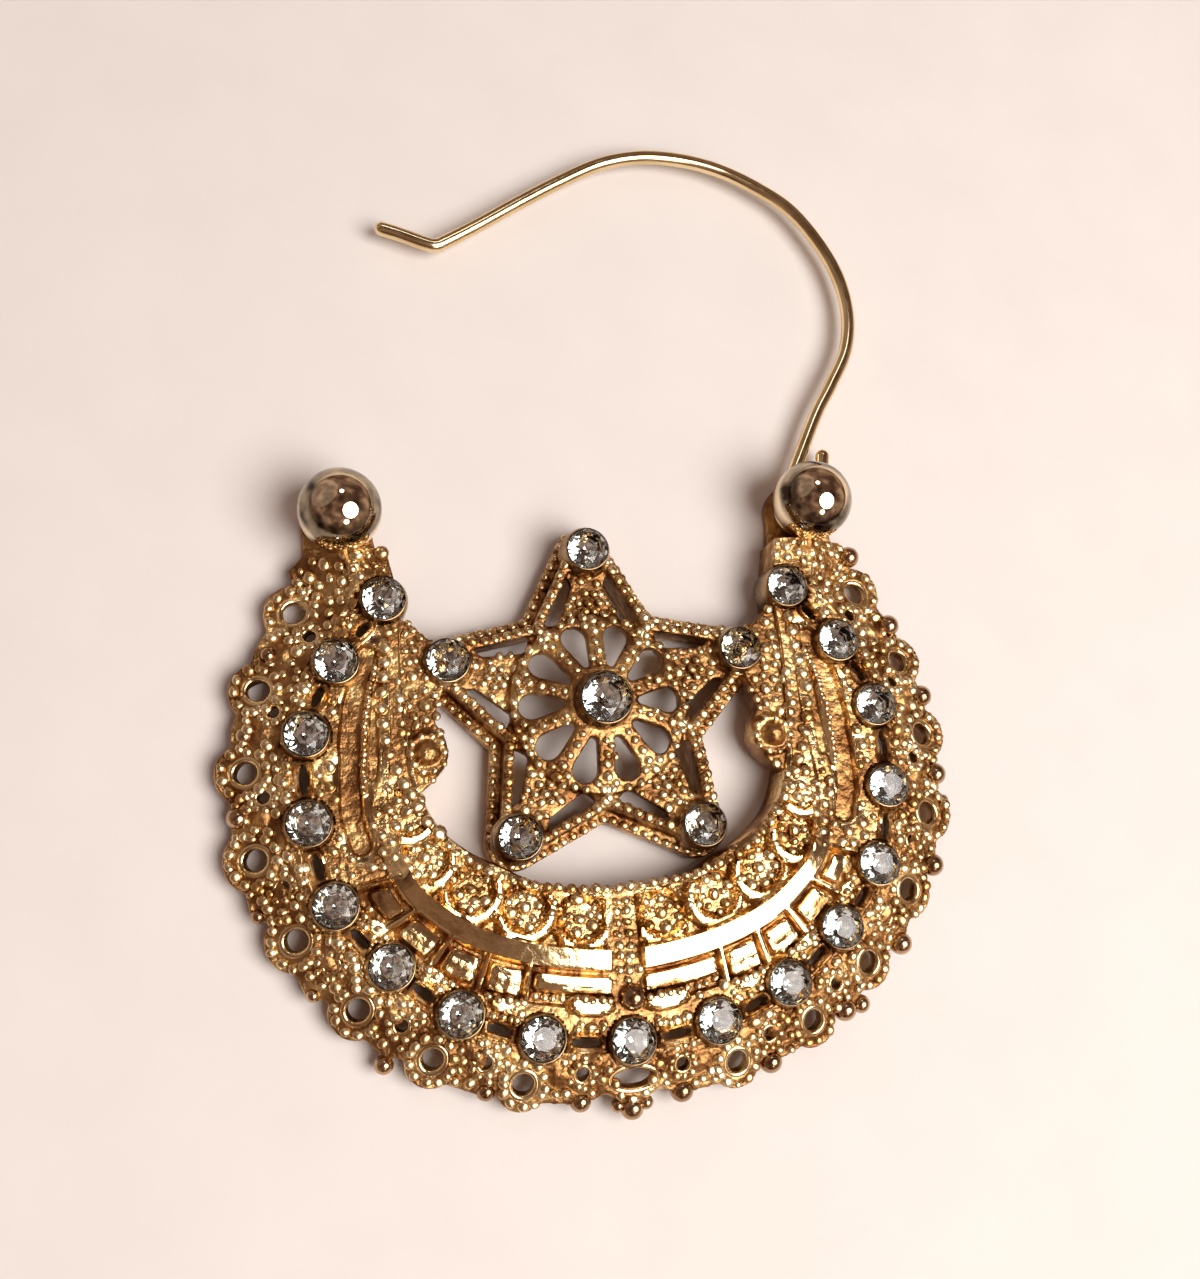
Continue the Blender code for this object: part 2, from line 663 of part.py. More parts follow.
def seat(place, radius, girdle):
    """Room for a stone: its back cone with the gap all round, open towards the front."""
    wide = radius + STONE_GAP
    floor = girdle - BACK_SHARE * radius - SEAT_FLOOR["below_stone"]
    profile = ((SEAT_FLOOR["radius"], floor, 1, 0.0), (wide, girdle - SEAT_SHOULDER, 1, 0.0),
               (wide, girdle + SEAT_ABOVE, 1, 0.0))
    return hull_of_rings(profile, CUP_SIDES, place)


def slots():
    """Pierced slots between the stones."""
    pieces = []
    for n in range(STONES_PER_HALF):
        for side in (-1.0, 1.0):
            place = crescent_point(side * (n + 0.5), 2.0)
            ahead = crescent_point(side * (n + 0.5 + AHEAD), 2.0)
            pieces.append(box(place, SLOT_LENGTH, SLOT_WIDTH, *SLOT_REACH, direction(place, ahead)))
    return pieces


def earring_body():
    """The whole casting with what is soldered to it, as one solid."""
    added = [lace(), star_web(), flower(), star_rim(STAR_SKIRT), star_rim(STAR_WALL)]
    added += edge_beads() + cups() + bridges() + scales() + key_band() + ends()
    body = combine(crescent_band(), join(added), "UNION", True)
    cut = [seat(place, STONE_RADIUS, GIRDLE_HEIGHT) for place in stone_places() + star_stone_places()]
    cut.append(seat((0.0, 0.0), CENTRE_STONE_RADIUS, CENTRE_GIRDLE_HEIGHT))
    body = combine(body, join(cut + slots()), "DIFFERENCE", False)
    bmesh.ops.remove_doubles(body, verts=body.verts, dist=SAME_PLACE)
    bmesh.ops.dissolve_degenerate(body, edges=body.edges, dist=SAME_PLACE)
    bmesh.ops.dissolve_limit(body, angle_limit=FLAT_WITHIN, verts=body.verts, edges=body.edges)
    bmesh.ops.triangulate(body, faces=body.faces)
    return body


def cut_stone(radius):
    """Round stone, its girdle around height 0: the facets are the faces of its convex hull."""
    girdle = 0.5 * GIRDLE_SHARE * radius
    half_side = 180.0 / STONE_SIDES
    profile = ((TABLE_SHARE * radius, girdle + CROWN_SHARE * radius, 2, 0.0),
               (radius, girdle, 1, half_side), (radius, -girdle, 1, half_side),
               (0.0, -girdle - BACK_SHARE * radius, 1, 0.0))
    return hull_of_rings(profile, STONE_SIDES)


def finished(name, mesh, material, place, height, collection):
    """Object that stands at a place counted from the star's middle, in metres."""
    item = bpy.data.objects.new(name, mesh)
    item.location = ((place[0] + STAR_MIDDLE[0]) * MM, (place[1] + STAR_MIDDLE[1]) * MM, height * MM)
    if not mesh.materials:
        mesh.materials.append(material)
    collection.objects.link(item)
    return item


def in_metres(bm, name):
    mesh = mesh_from(bm, name)
    mesh.transform(Matrix.Scale(MM, 4))
    return mesh


def add_stones(material, collection):
    small = in_metres(cut_stone(STONE_RADIUS), "small_stone")
    large = in_metres(cut_stone(CENTRE_STONE_RADIUS), "large_stone")
    for n, place in enumerate(stone_places()):
        finished(f"crescent_stone_{n + 1:02d}", small, material, place, GIRDLE_HEIGHT, collection)
    for n, place in enumerate(star_stone_places()):
        finished(f"star_stone_{n + 1}", small, material, place, GIRDLE_HEIGHT, collection)
    finished("centre_stone", large, material, (0.0, 0.0), CENTRE_GIRDLE_HEIGHT, collection)


def tangent_angle(point, turn):
    """Angle on the eye where a straight wire from the point touches it; turn is 1 or -1."""
    spread = math.degrees(math.acos(EYE_RADIUS / math.dist(POST, point)))
    return direction(POST, point) + turn * spread


def wire_path():
    """Middle line of the wire, from the stub round the eye and over the arch to the tail."""
    start = tangent_angle(STUB_TIP, -1.0)
    end = tangent_angle(WIRE_ARCH[0], 1.0)
    sweep = start - (end - 360.0)
    eye = [polar(EYE_RADIUS, start - sweep * n / EYE_POINTS, POST) for n in range(EYE_POINTS + 1)]
    last = len(WIRE_ARCH) - 1
    arch = [smooth_curve(WIRE_ARCH, last * n / ARCH_POINTS, eye[-1])
            for n in range(ARCH_POINTS + 1)]
    return [STUB_TIP] + eye + arch + list(WIRE_TAIL)


def add_wire(material, collection):
    curve = bpy.data.curves.new("ear_wire", "CURVE")
    curve.dimensions = "3D"
    curve.bevel_depth = WIRE_RADIUS * MM
    curve.bevel_resolution = 2
    curve.use_fill_caps = True
    path = wire_path()
    spline = curve.splines.new("POLY")
    spline.points.add(len(path) - 1)
    for point, (x, y) in zip(spline.points, path):
        point.co = ((x - POST[0]) * MM, (y - POST[1]) * MM, 0.0, 1.0)
    finished("ear_wire", curve, material, POST, WIRE_HEIGHT, collection)


def main():
    clear_scene()
    earring = new_collection("hoop_earring")
    gold = new_material("cast_gold", GOLD, 1.0, 0.25)
    wire_gold = new_material("wire_gold", WIRE_GOLD, 1.0, 0.2)
    stone = new_material("cut_stone", STONE_COLOUR, 0.0, 0.03)
    finished("earring_body", in_metres(earring_body(), "earring_body"), gold, (0.0, 0.0), 0.0,
             earring)
    add_stones(stone, earring)
    add_wire(wire_gold, earring)


main()
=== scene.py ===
# %% [markdown]
# Hoop earring: a cast crescent with a star
#
# The earring lies on its back on a pale surface. The frame holds its solids at their real size, and
# this script dresses them: finer castings, rows of tiny beads, faceted stones and polished wire.
# Everything is drawn in millimetres, counted from the middle of the star, because jewellers'
# sizes are easier to read that way. Each finished mesh is then scaled to metres and moved into place.

# %% Load the frame
import math

import bmesh
import bpy
import numpy as np
from mathutils import Matrix, Vector
from mathutils.bvhtree import BVHTree
from mathutils.kdtree import KDTree


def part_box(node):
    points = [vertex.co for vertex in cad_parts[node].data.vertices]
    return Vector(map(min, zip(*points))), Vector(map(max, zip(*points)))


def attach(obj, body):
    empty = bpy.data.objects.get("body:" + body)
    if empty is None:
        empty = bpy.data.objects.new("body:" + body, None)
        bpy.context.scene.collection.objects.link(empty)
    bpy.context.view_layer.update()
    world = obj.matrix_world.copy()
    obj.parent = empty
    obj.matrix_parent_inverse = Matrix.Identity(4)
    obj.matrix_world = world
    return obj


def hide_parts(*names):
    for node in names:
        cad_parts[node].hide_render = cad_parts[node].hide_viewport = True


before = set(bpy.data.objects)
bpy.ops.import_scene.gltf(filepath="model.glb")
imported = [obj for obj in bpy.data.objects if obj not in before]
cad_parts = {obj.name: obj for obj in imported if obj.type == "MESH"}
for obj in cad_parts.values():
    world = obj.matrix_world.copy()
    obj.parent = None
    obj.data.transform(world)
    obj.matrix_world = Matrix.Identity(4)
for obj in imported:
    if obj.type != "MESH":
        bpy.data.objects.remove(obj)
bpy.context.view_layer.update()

MM = 0.001
scene = bpy.context.scene
low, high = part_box("centre_stone")
STAR_MIDDLE = (low + high) / 2 * Vector((1.0, 1.0, 0.0))

# %% [markdown]
# Camera
#
# The photograph looks almost straight down on the earring, from a little below and to the left. A
# camera matrix is three directions and a place. Writing the directions as columns keeps the roll
# exact, which a camera that is only aimed at a point would lose.

# %% Camera
CAMERA_TURN = (-0.22742945, 0.23653045, 0.04071524)
CAMERA_FROM_TURNED_MIDDLE = (0.337, 3.748, 83.12)
PAPER_HEIGHT = 0.9
LENS = 46.235

turn = (Matrix.Rotation(CAMERA_TURN[2], 3, "Z") @ Matrix.Rotation(CAMERA_TURN[1], 3, "Y")
        @ Matrix.Rotation(CAMERA_TURN[0], 3, "X")).transposed()
place = turn @ Vector(CAMERA_FROM_TURNED_MIDDLE) + Vector((0.0, 0.0, PAPER_HEIGHT))
camera_data = bpy.data.cameras.new("camera")
camera_data.sensor_fit = "HORIZONTAL"
camera_data.sensor_width = 36.0
camera_data.lens = LENS
camera_data.clip_start = 0.005
camera_data.clip_end = 5.0
camera = bpy.data.objects.new("camera", camera_data)
scene.collection.objects.link(camera)
camera.matrix_world = Matrix.Translation(place * MM + STAR_MIDDLE) @ turn.to_4x4()
scene.camera = camera
print("camera at", [round(v, 4) for v in camera.matrix_world.translation])

# %% [markdown]
# Light
#
# Polished metal shows its surroundings more than its own colour, so the lamps and the room make
# most of its look. One soft round lamp, to the right and a little in front, puts a cream highlight
# on every bead. A very wide, weak lamp behind on the left lifts the shadows, and two small weak
# ones, in front and behind, give what is round a second glint.

# %% Lamps
LAMPS = (
    {"name": "key", "towards": (0.4, -0.3, 0.86), "away": 0.32, "size": 0.25,
     "watts": 1.2, "colour": (1.0, 0.97, 0.94)},
    {"name": "fill", "towards": (-0.6, 0.5, 0.5), "away": 0.5, "size": 0.7,
     "watts": 0.14, "colour": (1.0, 0.92, 0.86)},
    {"name": "front", "towards": (0.2, -0.75, 0.6), "away": 0.5, "size": 0.13,
     "watts": 0.12, "colour": (1.0, 0.95, 0.9)},
    {"name": "back", "towards": (0.05, 0.55, 0.82), "away": 0.6, "size": 0.12,
     "watts": 0.12, "colour": (0.95, 0.97, 1.0)},
)


def add_lamp(row):
    data = bpy.data.lights.new(row["name"], "AREA")
    data.shape = "DISK"
    data.size = row["size"]
    data.energy = row["watts"]
    data.color = row["colour"]
    lamp = bpy.data.objects.new(row["name"], data)
    scene.collection.objects.link(lamp)
    towards = Vector(row["towards"]).normalized()
    lamp.location = towards * row["away"]
    lamp.rotation_euler = towards.to_track_quat("Z", "Y").to_euler()
    return lamp


for row in LAMPS:
    add_lamp(row)
scene.view_settings.view_transform = "Standard"
print("lamps:", [row["name"] for row in LAMPS])

# %% [markdown]
# Materials from nodes
#
# A casting is never one even colour: it has a fine skin, a colour that drifts, and a roughness that
# drifts. Two noises on Object coordinates do this, and they stay put on the piece because its mesh
# is already in its place. Where a mesh carries an attribute of polish, which also carries painted
# light, the metal is smoother there and painted paler, a painted sheen; where it is low the metal
# stays darker, which in the hollows is partly patina and partly painted shade. Plain numbers, such
# as Metallic, go on the shader's own sockets.

# %% Node helpers
NOISE_RANGE = (0.3, 0.7)


def add(tree, kind, sources=None, **settings):
    """Node of a kind, with sources for its inputs: an output socket to link or a plain value."""
    made = tree.nodes.new(kind)
    for name, value in settings.items():
        setattr(made, name, value)
    for label, source in (sources or {}).items():
        if isinstance(source, bpy.types.NodeSocket):
            tree.links.new(source, made.inputs[label])
        else:
            made.inputs[label].default_value = source
    return made


def noise_of(tree, scale, detail, seen_by="Object"):
    """Noise on Object coordinates, if no others are named; the scale is in waves per metre."""
    place = add(tree, "ShaderNodeTexCoord").outputs[seen_by]
    return add(tree, "ShaderNodeTexNoise", {"Vector": place, "Scale": scale, "Detail": detail}).outputs["Fac"]


def ramp_of(tree, factor, stops):
    """Colour for a number, from stops of a position and a colour."""
    ramp = add(tree, "ShaderNodeValToRGB", {"Fac": factor})
    ramp.color_ramp.elements[0].position, ramp.color_ramp.elements[0].color = stops[0]
    ramp.color_ramp.elements[1].position, ramp.color_ramp.elements[1].color = stops[-1]
    for position, colour in stops[1:-1]:
        ramp.color_ramp.elements.new(position).color = colour
    return ramp.outputs["Color"]


def range_of(tree, value, lowest, highest):
    """The value with the range of most noises stretched to another range."""
    return add(tree, "ShaderNodeMapRange",
               {"Value": value, "From Min": NOISE_RANGE[0], "From Max": NOISE_RANGE[1],
                "To Min": lowest, "To Max": highest}).outputs["Result"]


def sum_of(tree, value, factor, offset):
    """The value times a factor, plus an offset; each of the three is a number or an output."""
    return add(tree, "ShaderNodeMath", {0: value, 1: factor, 2: offset}, operation="MULTIPLY_ADD").outputs[0]


def shader_of(name, **values):
    """A new node material, its tree and its shader, with plain values on the shader's sockets."""
    material = bpy.data.materials.new(name)
    material.use_nodes = True
    shader = material.node_tree.nodes["Principled BSDF"]
    for label, value in values.items():
        shader.inputs[label.replace("_", " ")].default_value = value
    return material, material.node_tree, shader.inputs


# %% [markdown]
# The room
#
# The gold mirrors a room that isn't in the picture. A warm brown one with darker and paler patches,
# darker above, makes the metal read deep where no lamp lights it, and no two beads mirror the same.

# %% Room
ROOM_COLOURS = ((0.2, (0.045, 0.025, 0.02, 1.0)), (0.38, (0.14, 0.08, 0.06, 1.0)),
                (0.64, (0.46, 0.31, 0.24, 1.0)))
ROOM_PATCHES = {"scale": 2.3, "detail": 1.5}
DARK_ABOVE = 0.2


def brown_room():
    """World whose walls drift from dark to pale, and get darker upwards."""
    world = bpy.data.worlds.new("room")
    world.use_nodes = True
    tree = world.node_tree
    walls = noise_of(tree, ROOM_PATCHES["scale"], ROOM_PATCHES["detail"], "Generated")
    sight = add(tree, "ShaderNodeTexCoord").outputs["Generated"]
    upwards = add(tree, "ShaderNodeSeparateXYZ", {"Vector": sight}).outputs["Z"]
    shade = sum_of(tree, upwards, -DARK_ABOVE, walls)
    tree.links.new(ramp_of(tree, shade, ROOM_COLOURS), tree.nodes["Background"].inputs["Color"])
    return world


scene.world = brown_room()
print("room:", len(ROOM_COLOURS), "browns")

# %% [markdown]
# Golds
#
# The photo's metal isn't one gold: it is brown in the hollows of the casting, bright on the beads
# and the rims of the openings, dark on the cups, and nearly a mirror on the balls and the wire. The
# brown of the hollows is partly patina and partly painted shade, and the dark of the cups is painted
# shade. Each of them is one call of the same recipe, with its darkest and lightest colour.

# %% The metals
DRIFT = {"scale": 600.0, "detail": 3.0, "dark_until": 0.35, "light_from": 0.65}
SKIN_DETAIL = 4.0
# How much paler, a painted sheen, and how much smoother the metal gets where it is polished.
POLISH_AND_PAINTED_LIGHT = {"paler": 0.45, "smoother": 0.72, "light_from": 0.88}


def metal(name, dark, light, roughness, skin, between=()):
    """Gold: its colour drifts from dark to light, its roughness drifts, and its skin is uneven."""
    material, tree, sockets = shader_of(name, Metallic=1.0)
    drift = noise_of(tree, DRIFT["scale"], DRIFT["detail"])
    fine = noise_of(tree, skin["scale"], SKIN_DETAIL)
    height, matt, light_from = fine, range_of(tree, fine, *roughness), DRIFT["light_from"]
    # Where the polish attribute is high, the colour is painted paler, a painted sheen, and the metal is
    # smoother; where it is low the colour stays darker, as painted shade.
    if "polished_with_painted_light" in skin:
        polish_and_painted_light = add(tree, "ShaderNodeAttribute", attribute_name="polish_and_painted_light").outputs["Fac"]
        drift = sum_of(tree, polish_and_painted_light, POLISH_AND_PAINTED_LIGHT["paler"], drift)
        height = sum_of(tree, fine, sum_of(tree, polish_and_painted_light, -skin["polished_with_painted_light"], 1.0), 0.0)
        matt = sum_of(tree, matt, sum_of(tree, polish_and_painted_light, -POLISH_AND_PAINTED_LIGHT["smoother"], 1.0), 0.0)
        light_from = POLISH_AND_PAINTED_LIGHT["light_from"]
    stops = [(DRIFT["dark_until"], dark), *between, (light_from, light)]
    colour = ramp_of(tree, drift, [(position, (*shade, 1.0)) for position, shade in stops])
    bump = add(tree, "ShaderNodeBump",
               {"Height": height, "Strength": skin["strength"], "Distance": skin["depth"]})
    tree.links.new(colour, sockets["Base Color"])
    tree.links.new(matt, sockets["Roughness"])
    tree.links.new(bump.outputs["Normal"], sockets["Normal"])
    return material


cast_gold = metal("cast_gold", (0.2, 0.085, 0.028), (0.95, 0.7, 0.36), (0.26, 0.44),
                  {"scale": 2300.0, "strength": 0.9, "depth": 0.00016, "polished_with_painted_light": 0.93},
                  ((0.5, (0.36, 0.18, 0.065)), (0.62, (0.62, 0.38, 0.15))))
rim_gold = metal("rim_gold", (0.8, 0.55, 0.25), (0.95, 0.73, 0.4), (0.1, 0.22),
                 {"scale": 1700.0, "strength": 0.1, "depth": 0.00005})
bead_gold = metal("bead_gold", (0.5, 0.27, 0.09), (0.97, 0.77, 0.45), (0.22, 0.34),
                  {"scale": 1800.0, "strength": 0.08, "depth": 0.00005})
# The cups' gold is dark all over, a painted shade that reads as the shadow round each stone.
cup_gold_painted_shade = metal("cup_gold_painted_shade", (0.2, 0.12, 0.06), (0.44, 0.3, 0.16), (0.22, 0.36),
                 {"scale": 1800.0, "strength": 0.1, "depth": 0.00005})
# Its near black darkest colour paints the dark belt on the balls, a painted reflection.
ball_gold_painted_belt = metal("ball_gold_painted_belt", (0.03, 0.018, 0.012), (0.84, 0.69, 0.47), (0.06, 0.12),
                  {"scale": 900.0, "strength": 0.04, "depth": 0.00005, "polished_with_painted_light": 0.5})
knob_gold = metal("knob_gold", (0.34, 0.2, 0.1), (0.56, 0.38, 0.22), (0.12, 0.24),
                  {"scale": 1500.0, "strength": 0.12, "depth": 0.00006})
wire_gold = metal("wire_gold", (0.74, 0.57, 0.3), (0.88, 0.7, 0.42), (0.1, 0.2),
                  {"scale": 1200.0, "strength": 0.12, "depth": 0.00005})
for made in (cast_gold, rim_gold, bead_gold, cup_gold_painted_shade, ball_gold_painted_belt, knob_gold, wire_gold):
    print("metal:", made.name)

# %% [markdown]
# Stones
#
# Colourless glass stones are silvered on the back, so light that enters the crown meets a mirror
# and comes out again, split by the facets. Two materials do the same here: clear glass on the
# crown, and foil on the faces of the back.

# %% The stone's glass and foil
GLASS_HAZE = {"scale": 700.0, "detail": 2.0, "stops": ((0.3, (0.93, 0.95, 0.97, 1.0)), (0.7, (1.0,) * 4))}
FOIL_WEAR = {"scale": 2500.0, "detail": 3.0, "roughness": (0.03, 0.08),
             "stops": ((0.3, (0.62, 0.67, 0.655, 1.0)), (0.7, (0.9, 0.935, 0.9, 1.0)))}


def clear_glass():
    material, tree, sockets = shader_of("stone_glass", Transmission_Weight=1.0, IOR=1.58, Roughness=0.0)
    haze = noise_of(tree, GLASS_HAZE["scale"], GLASS_HAZE["detail"])
    tree.links.new(ramp_of(tree, haze, GLASS_HAZE["stops"]), sockets["Base Color"])
    return material


def silver_foil():
    material, tree, sockets = shader_of("stone_foil", Metallic=1.0)
    wear = noise_of(tree, FOIL_WEAR["scale"], FOIL_WEAR["detail"])
    tree.links.new(ramp_of(tree, wear, FOIL_WEAR["stops"]), sockets["Base Color"])
    tree.links.new(range_of(tree, wear, *FOIL_WEAR["roughness"]), sockets["Roughness"])
    return material


stone_glass = clear_glass()
stone_foil = silver_foil()
print("stone:", stone_glass.name, "and", stone_foil.name)

# %% [markdown]
# The crescent's map
#
# The crescent bends, widens and narrows, so x and y are poor coordinates for it. A better pair is
# the station, which counts the stones from the bottom one up, and the place across: 0 is the inner
# edge, 1 the smooth rail, 2 the row of stones and 3 the lace edge. A smooth curve runs through
# the table's points in each column, and everything on the crescent is placed with this map.

# %% Stations of the crescent


def middle_of(node):
    """Middle of a solid of the frame, in mm from the star's middle."""
    lowest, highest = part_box(node)
    middle = ((lowest + highest) / 2 - STAR_MIDDLE) / MM
    return (middle.x, middle.y)


STONE_NODES = [f"crescent_stone_{n:02d}" for n in range(1, 18)]
STONES = [middle_of(name) for name in STONE_NODES]
STAR_NODES = [f"star_stone_{n}" for n in range(1, 6)]
STAR_STONES = [middle_of(name) for name in STAR_NODES]
HALF_STONES = STONES[8:]
INNER = ((0.0, -9.65), (3.8, -9.2), (6.1, -8.1), (7.7, -7.2), (9.1, -5.8), (9.9, -3.8), (10.3, -0.8),
         (10.4, 2.6), (10.3, 5.8), (10.8, 8.8))
RAIL = ((0.0, -13.35), (3.95, -12.87), (7.2, -11.85), (9.2, -10.55), (10.95, -8.6), (11.6, -5.2),
        (11.2, -0.9), (11.1, 2.5), (10.6, 5.9), (11.3, 8.8))
EDGE = ((0.0, -20.6), (5.8, -20.3), (10.7, -18.6), (14.7, -15.7), (17.9, -11.6), (19.6, -7.0),
        (20.0, -2.4), (19.0, 2.0), (17.2, 6.2), (15.3, 8.8))
COLUMNS = [np.array(c) for c in (INNER, RAIL, HALF_STONES + [(12.0, 8.8)], EDGE)]
NECK = 9.0


def polar(radius, angle, centre=(0.0, 0.0)):
    """Point at an angle in degrees, counted anticlockwise from +X."""
    a = math.radians(angle)
    return (centre[0] + radius * math.cos(a), centre[1] + radius * math.sin(a))


def direction(start, end):
    return math.degrees(math.atan2(end[1] - start[1], end[0] - start[0]))


# %% Smooth curves, and the map itself


def catmull_rom(padded, t):
    """Smooth curve at places t counted in rows, through rows of points with one extra at each end."""
    row = np.clip(t.astype(int), 0, len(padded) - 4)
    f = (t - row)[:, None]
    a, b, c, d = (padded[row + n] for n in range(4))
    return 0.5 * (2 * b + (c - a) * f + (2 * a - 5 * b + 4 * c - d) * f ** 2
                  + (3 * b - a - 3 * c + d) * f ** 3)


def smooth_line(points, t):
    """Curve through a column of the table, which goes on as its own mirror image on the left."""
    return catmull_rom(np.vstack([points[1] * (-1.0, 1.0), points, 2.0 * points[-1] - points[-2]]), t)


def open_curve(points, count):
    """Smooth curve through points in mm, as a number of new points."""
    points = np.array(points, float)
    padded = np.vstack([2 * points[0] - points[1], points, 2 * points[-1] - points[-2]])
    return catmull_rom(padded, np.linspace(0.0, len(points) - 1.0, count))


def crescent_map(stations, across):
    """Places for arrays of stations and places across, as an array of rows of points."""
    stations, across = np.atleast_1d(stations), np.atleast_1d(across)
    lines = np.stack([smooth_line(column, np.abs(stations)) for column in COLUMNS], 1)
    zone = np.clip(across.astype(int), 0, 2)
    share = (across - zone)[None, :, None]
    places = lines[:, zone] * (1.0 - share) + lines[:, zone + 1] * share
    places[..., 0] *= np.where(stations < 0.0, -1.0, 1.0)[:, None]
    return places


def crescent_point(station, across):
    return tuple(crescent_map(float(station), float(across))[0, 0])


print("stone row from", STONES[0], "to", STONES[-1])

# %% [markdown]
# The crescent's front
#
# The front is a relief, which is a height for each place on the map. A smooth rail runs round it and
# slopes outwards, bars cross from the rail towards the stones, and a pillow sits in each cell
# between the bars. Inside the rail lie round discs, each half surrounded by a smooth lip, like
# scales. Flat leaves and rimmed slots lie beside and between the stones, and channels run up the
# arms. A mesh of small faces over the map, lifted by this height, gives crisp steps and soft domes
# alike. A boolean of hundreds of solids would take longer and leave ragged edges.

# %% Heights on the crescent
BASE_ACROSS = (0.0, 0.03, 0.12, 0.2, 0.9, 1.0, 1.4, 1.7, 2.0, 2.3)
BASE_HEIGHT = (2.5, 2.68, 2.72, 2.6, 2.6, 2.7, 2.62, 2.62, 2.55, 2.35)
RAIL_HALF_WIDTH = 0.56
RAIL_HEIGHT = 3.36
RAIL_FADE = (4.35, 0.35)
SLOPE = 0.28
AXIS_GAP = 0.85
BARS = (1.25, 1.88, 2.62, 3.42, 4.12)
BAR_HALF_WIDTH = 0.15
BAR_REACH = 2.35
BAR_RISE = 0.07
GROOVE = 0.19
PILLOWS = ((0.68, 1.72), (0.68, 2.2), (0.68, 2.16), (0.68, 2.05), (0.68, 1.85))
PILLOW_CORNER = 0.22
CELL_DEPTH = 0.46
SCALES = ((2.13, -11.15), (5.04, -10.4), (7.65, -9.25), (9.85, -7.5), (10.55, -5.1))
SCALE_ZONE = {"inside": 0.5, "rail_gap": 0.56, "last": 5.5, "disc": 2.62, "groove": 2.36, "disc_radius": 1.0}
SCALE_LIP = {"inner": 1.22, "width": 0.62, "turn": 42.0, "reach": 112.0, "height": 3.02}
SCALE_FAN = (0.0, 2.0)
TILT_TO_LIGHT = (-0.11, 0.3)
PIT_RADIUS = 1.28
PIT_FLOOR = 2.08
SLOT = {"longest": 1.6, "cup": 1.42, "width": 0.48, "low": 0.5, "high": 4.0, "sides": 16, "rim": 0.26}
ARM_CHANNEL = ((12.05, 3.1), (12.5, 1.9), (12.95, 0.6), (13.2, -1.2), (13.32, -3.2), (13.3, -5.2),
               (12.95, -6.6))
ARM_GROOVE = ((11.4, 3.2), (11.65, 1.6), (11.88, 0.2), (11.98, -1.0), (12.08, -2.3), (12.15, -3.2))
ARM_ROPE = ((11.75, 2.4), (12.12, 1.3), (12.32, 0.3), (12.5, -0.9), (12.6, -1.9), (12.66, -2.9),
            (12.66, -4.0))
ARM_RELIEF = (
    {"line": ARM_CHANNEL, "half_width": 0.55, "soft": 0.1, "change": -0.36},
    {"line": ARM_GROOVE, "half_width": 0.26, "soft": 0.08, "change": -0.2},
    {"line": ARM_ROPE, "half_width": 0.12, "soft": 0.08, "change": 0.18},
)
LEAF_HEIGHT = 2.55
LEAVES = (
    {"station": 0.46, "across": 1.56, "length": 2.6, "width": 1.05, "rise": 0.55},
    {"station": 1.52, "across": 1.7, "length": 1.5, "width": 0.75, "rise": 0.4},
    {"station": 2.5, "across": 1.72, "length": 1.3, "width": 0.8, "rise": 0.35},
    {"station": 3.5, "across": 1.72, "length": 1.2, "width": 0.8, "rise": 0.35},
)


def slot_places():
    """Middle of each slot between two stones, and a place further along it."""
    return [(crescent_point(side * (n + 0.5), 2.0), crescent_point(side * (n + 0.6), 2.0))
            for n in range(8) for side in (-1.0, 1.0)]


def leaf_places():
    """Each leaf on both halves: its row of the table, its middle and a place further along it."""
    return [(leaf, crescent_point(side * leaf["station"], leaf["across"]),
             crescent_point(side * leaf["station"] + 0.1, leaf["across"]))
            for leaf in LEAVES for side in (-1.0, 1.0)]


def along_and_beside(x, y, middle, ahead):
    """Two coordinates counted from a middle: towards the place ahead, and square to it."""
    a = math.radians(direction(middle, ahead))
    u = (x - middle[0]) * math.cos(a) + (y - middle[1]) * math.sin(a)
    v = (y - middle[1]) * math.cos(a) - (x - middle[0]) * math.sin(a)
    return u, v


def leaning(height, x, y, middle):
    """Flat top with a height at its middle, leaning towards the lamp so that it flashes as one."""
    return height + TILT_TO_LIGHT[0] * (x - middle[0]) + TILT_TO_LIGHT[1] * (y - middle[1])


def slot_length(middle):
    """Length that fits between the two cups beside a slot."""
    return min(SLOT["longest"], 2.0 * (min(math.dist(middle, s) for s in STONES) - SLOT["cup"]))


# %% Soft steps and distances


def rise(x, middle, soft):
    """0 below the middle and 1 above it, with a soft step of the given half width."""
    t = np.clip((x - middle + soft) / (2.0 * soft), 0.0, 1.0)
    return t * t * (3.0 - 2.0 * t)


def mirrored(points):
    return [(-x, y) for x, y in points]


def both_sides(points):
    return list(points) + mirrored([p for p in points if p[0] > 0.01])


def lifted(height, target, amount):
    """Height drawn towards a target by an amount from 0 to 1."""
    return height + (target - height) * amount


def distance_to(path, x, y):
    """Distance to a line of points that is drawn on the right half and mirrored to the left."""
    x = np.abs(x)
    nearest = np.full(x.shape, 99.0)
    for (ax, ay), (bx, by) in zip(path, path[1:]):
        dx, dy = bx - ax, by - ay
        t = np.clip(((x - ax) * dx + (y - ay) * dy) / (dx * dx + dy * dy), 0.0, 1.0)
        nearest = np.minimum(nearest, np.hypot(x - ax - t * dx, y - ay - t * dy))
    return nearest


def along_rail(stations):
    """Length of the way along the middle of the cells from station 0, in mm, with its sign."""
    fine = np.linspace(0.0, NECK, 400)
    line = crescent_map(fine, 1.25)[:, 0]
    steps = np.hypot(*np.diff(line, axis=0).T)
    return np.sign(stations) * np.interp(np.abs(stations), fine, np.append(0.0, np.cumsum(steps)))


# %% Scales, arms and cells


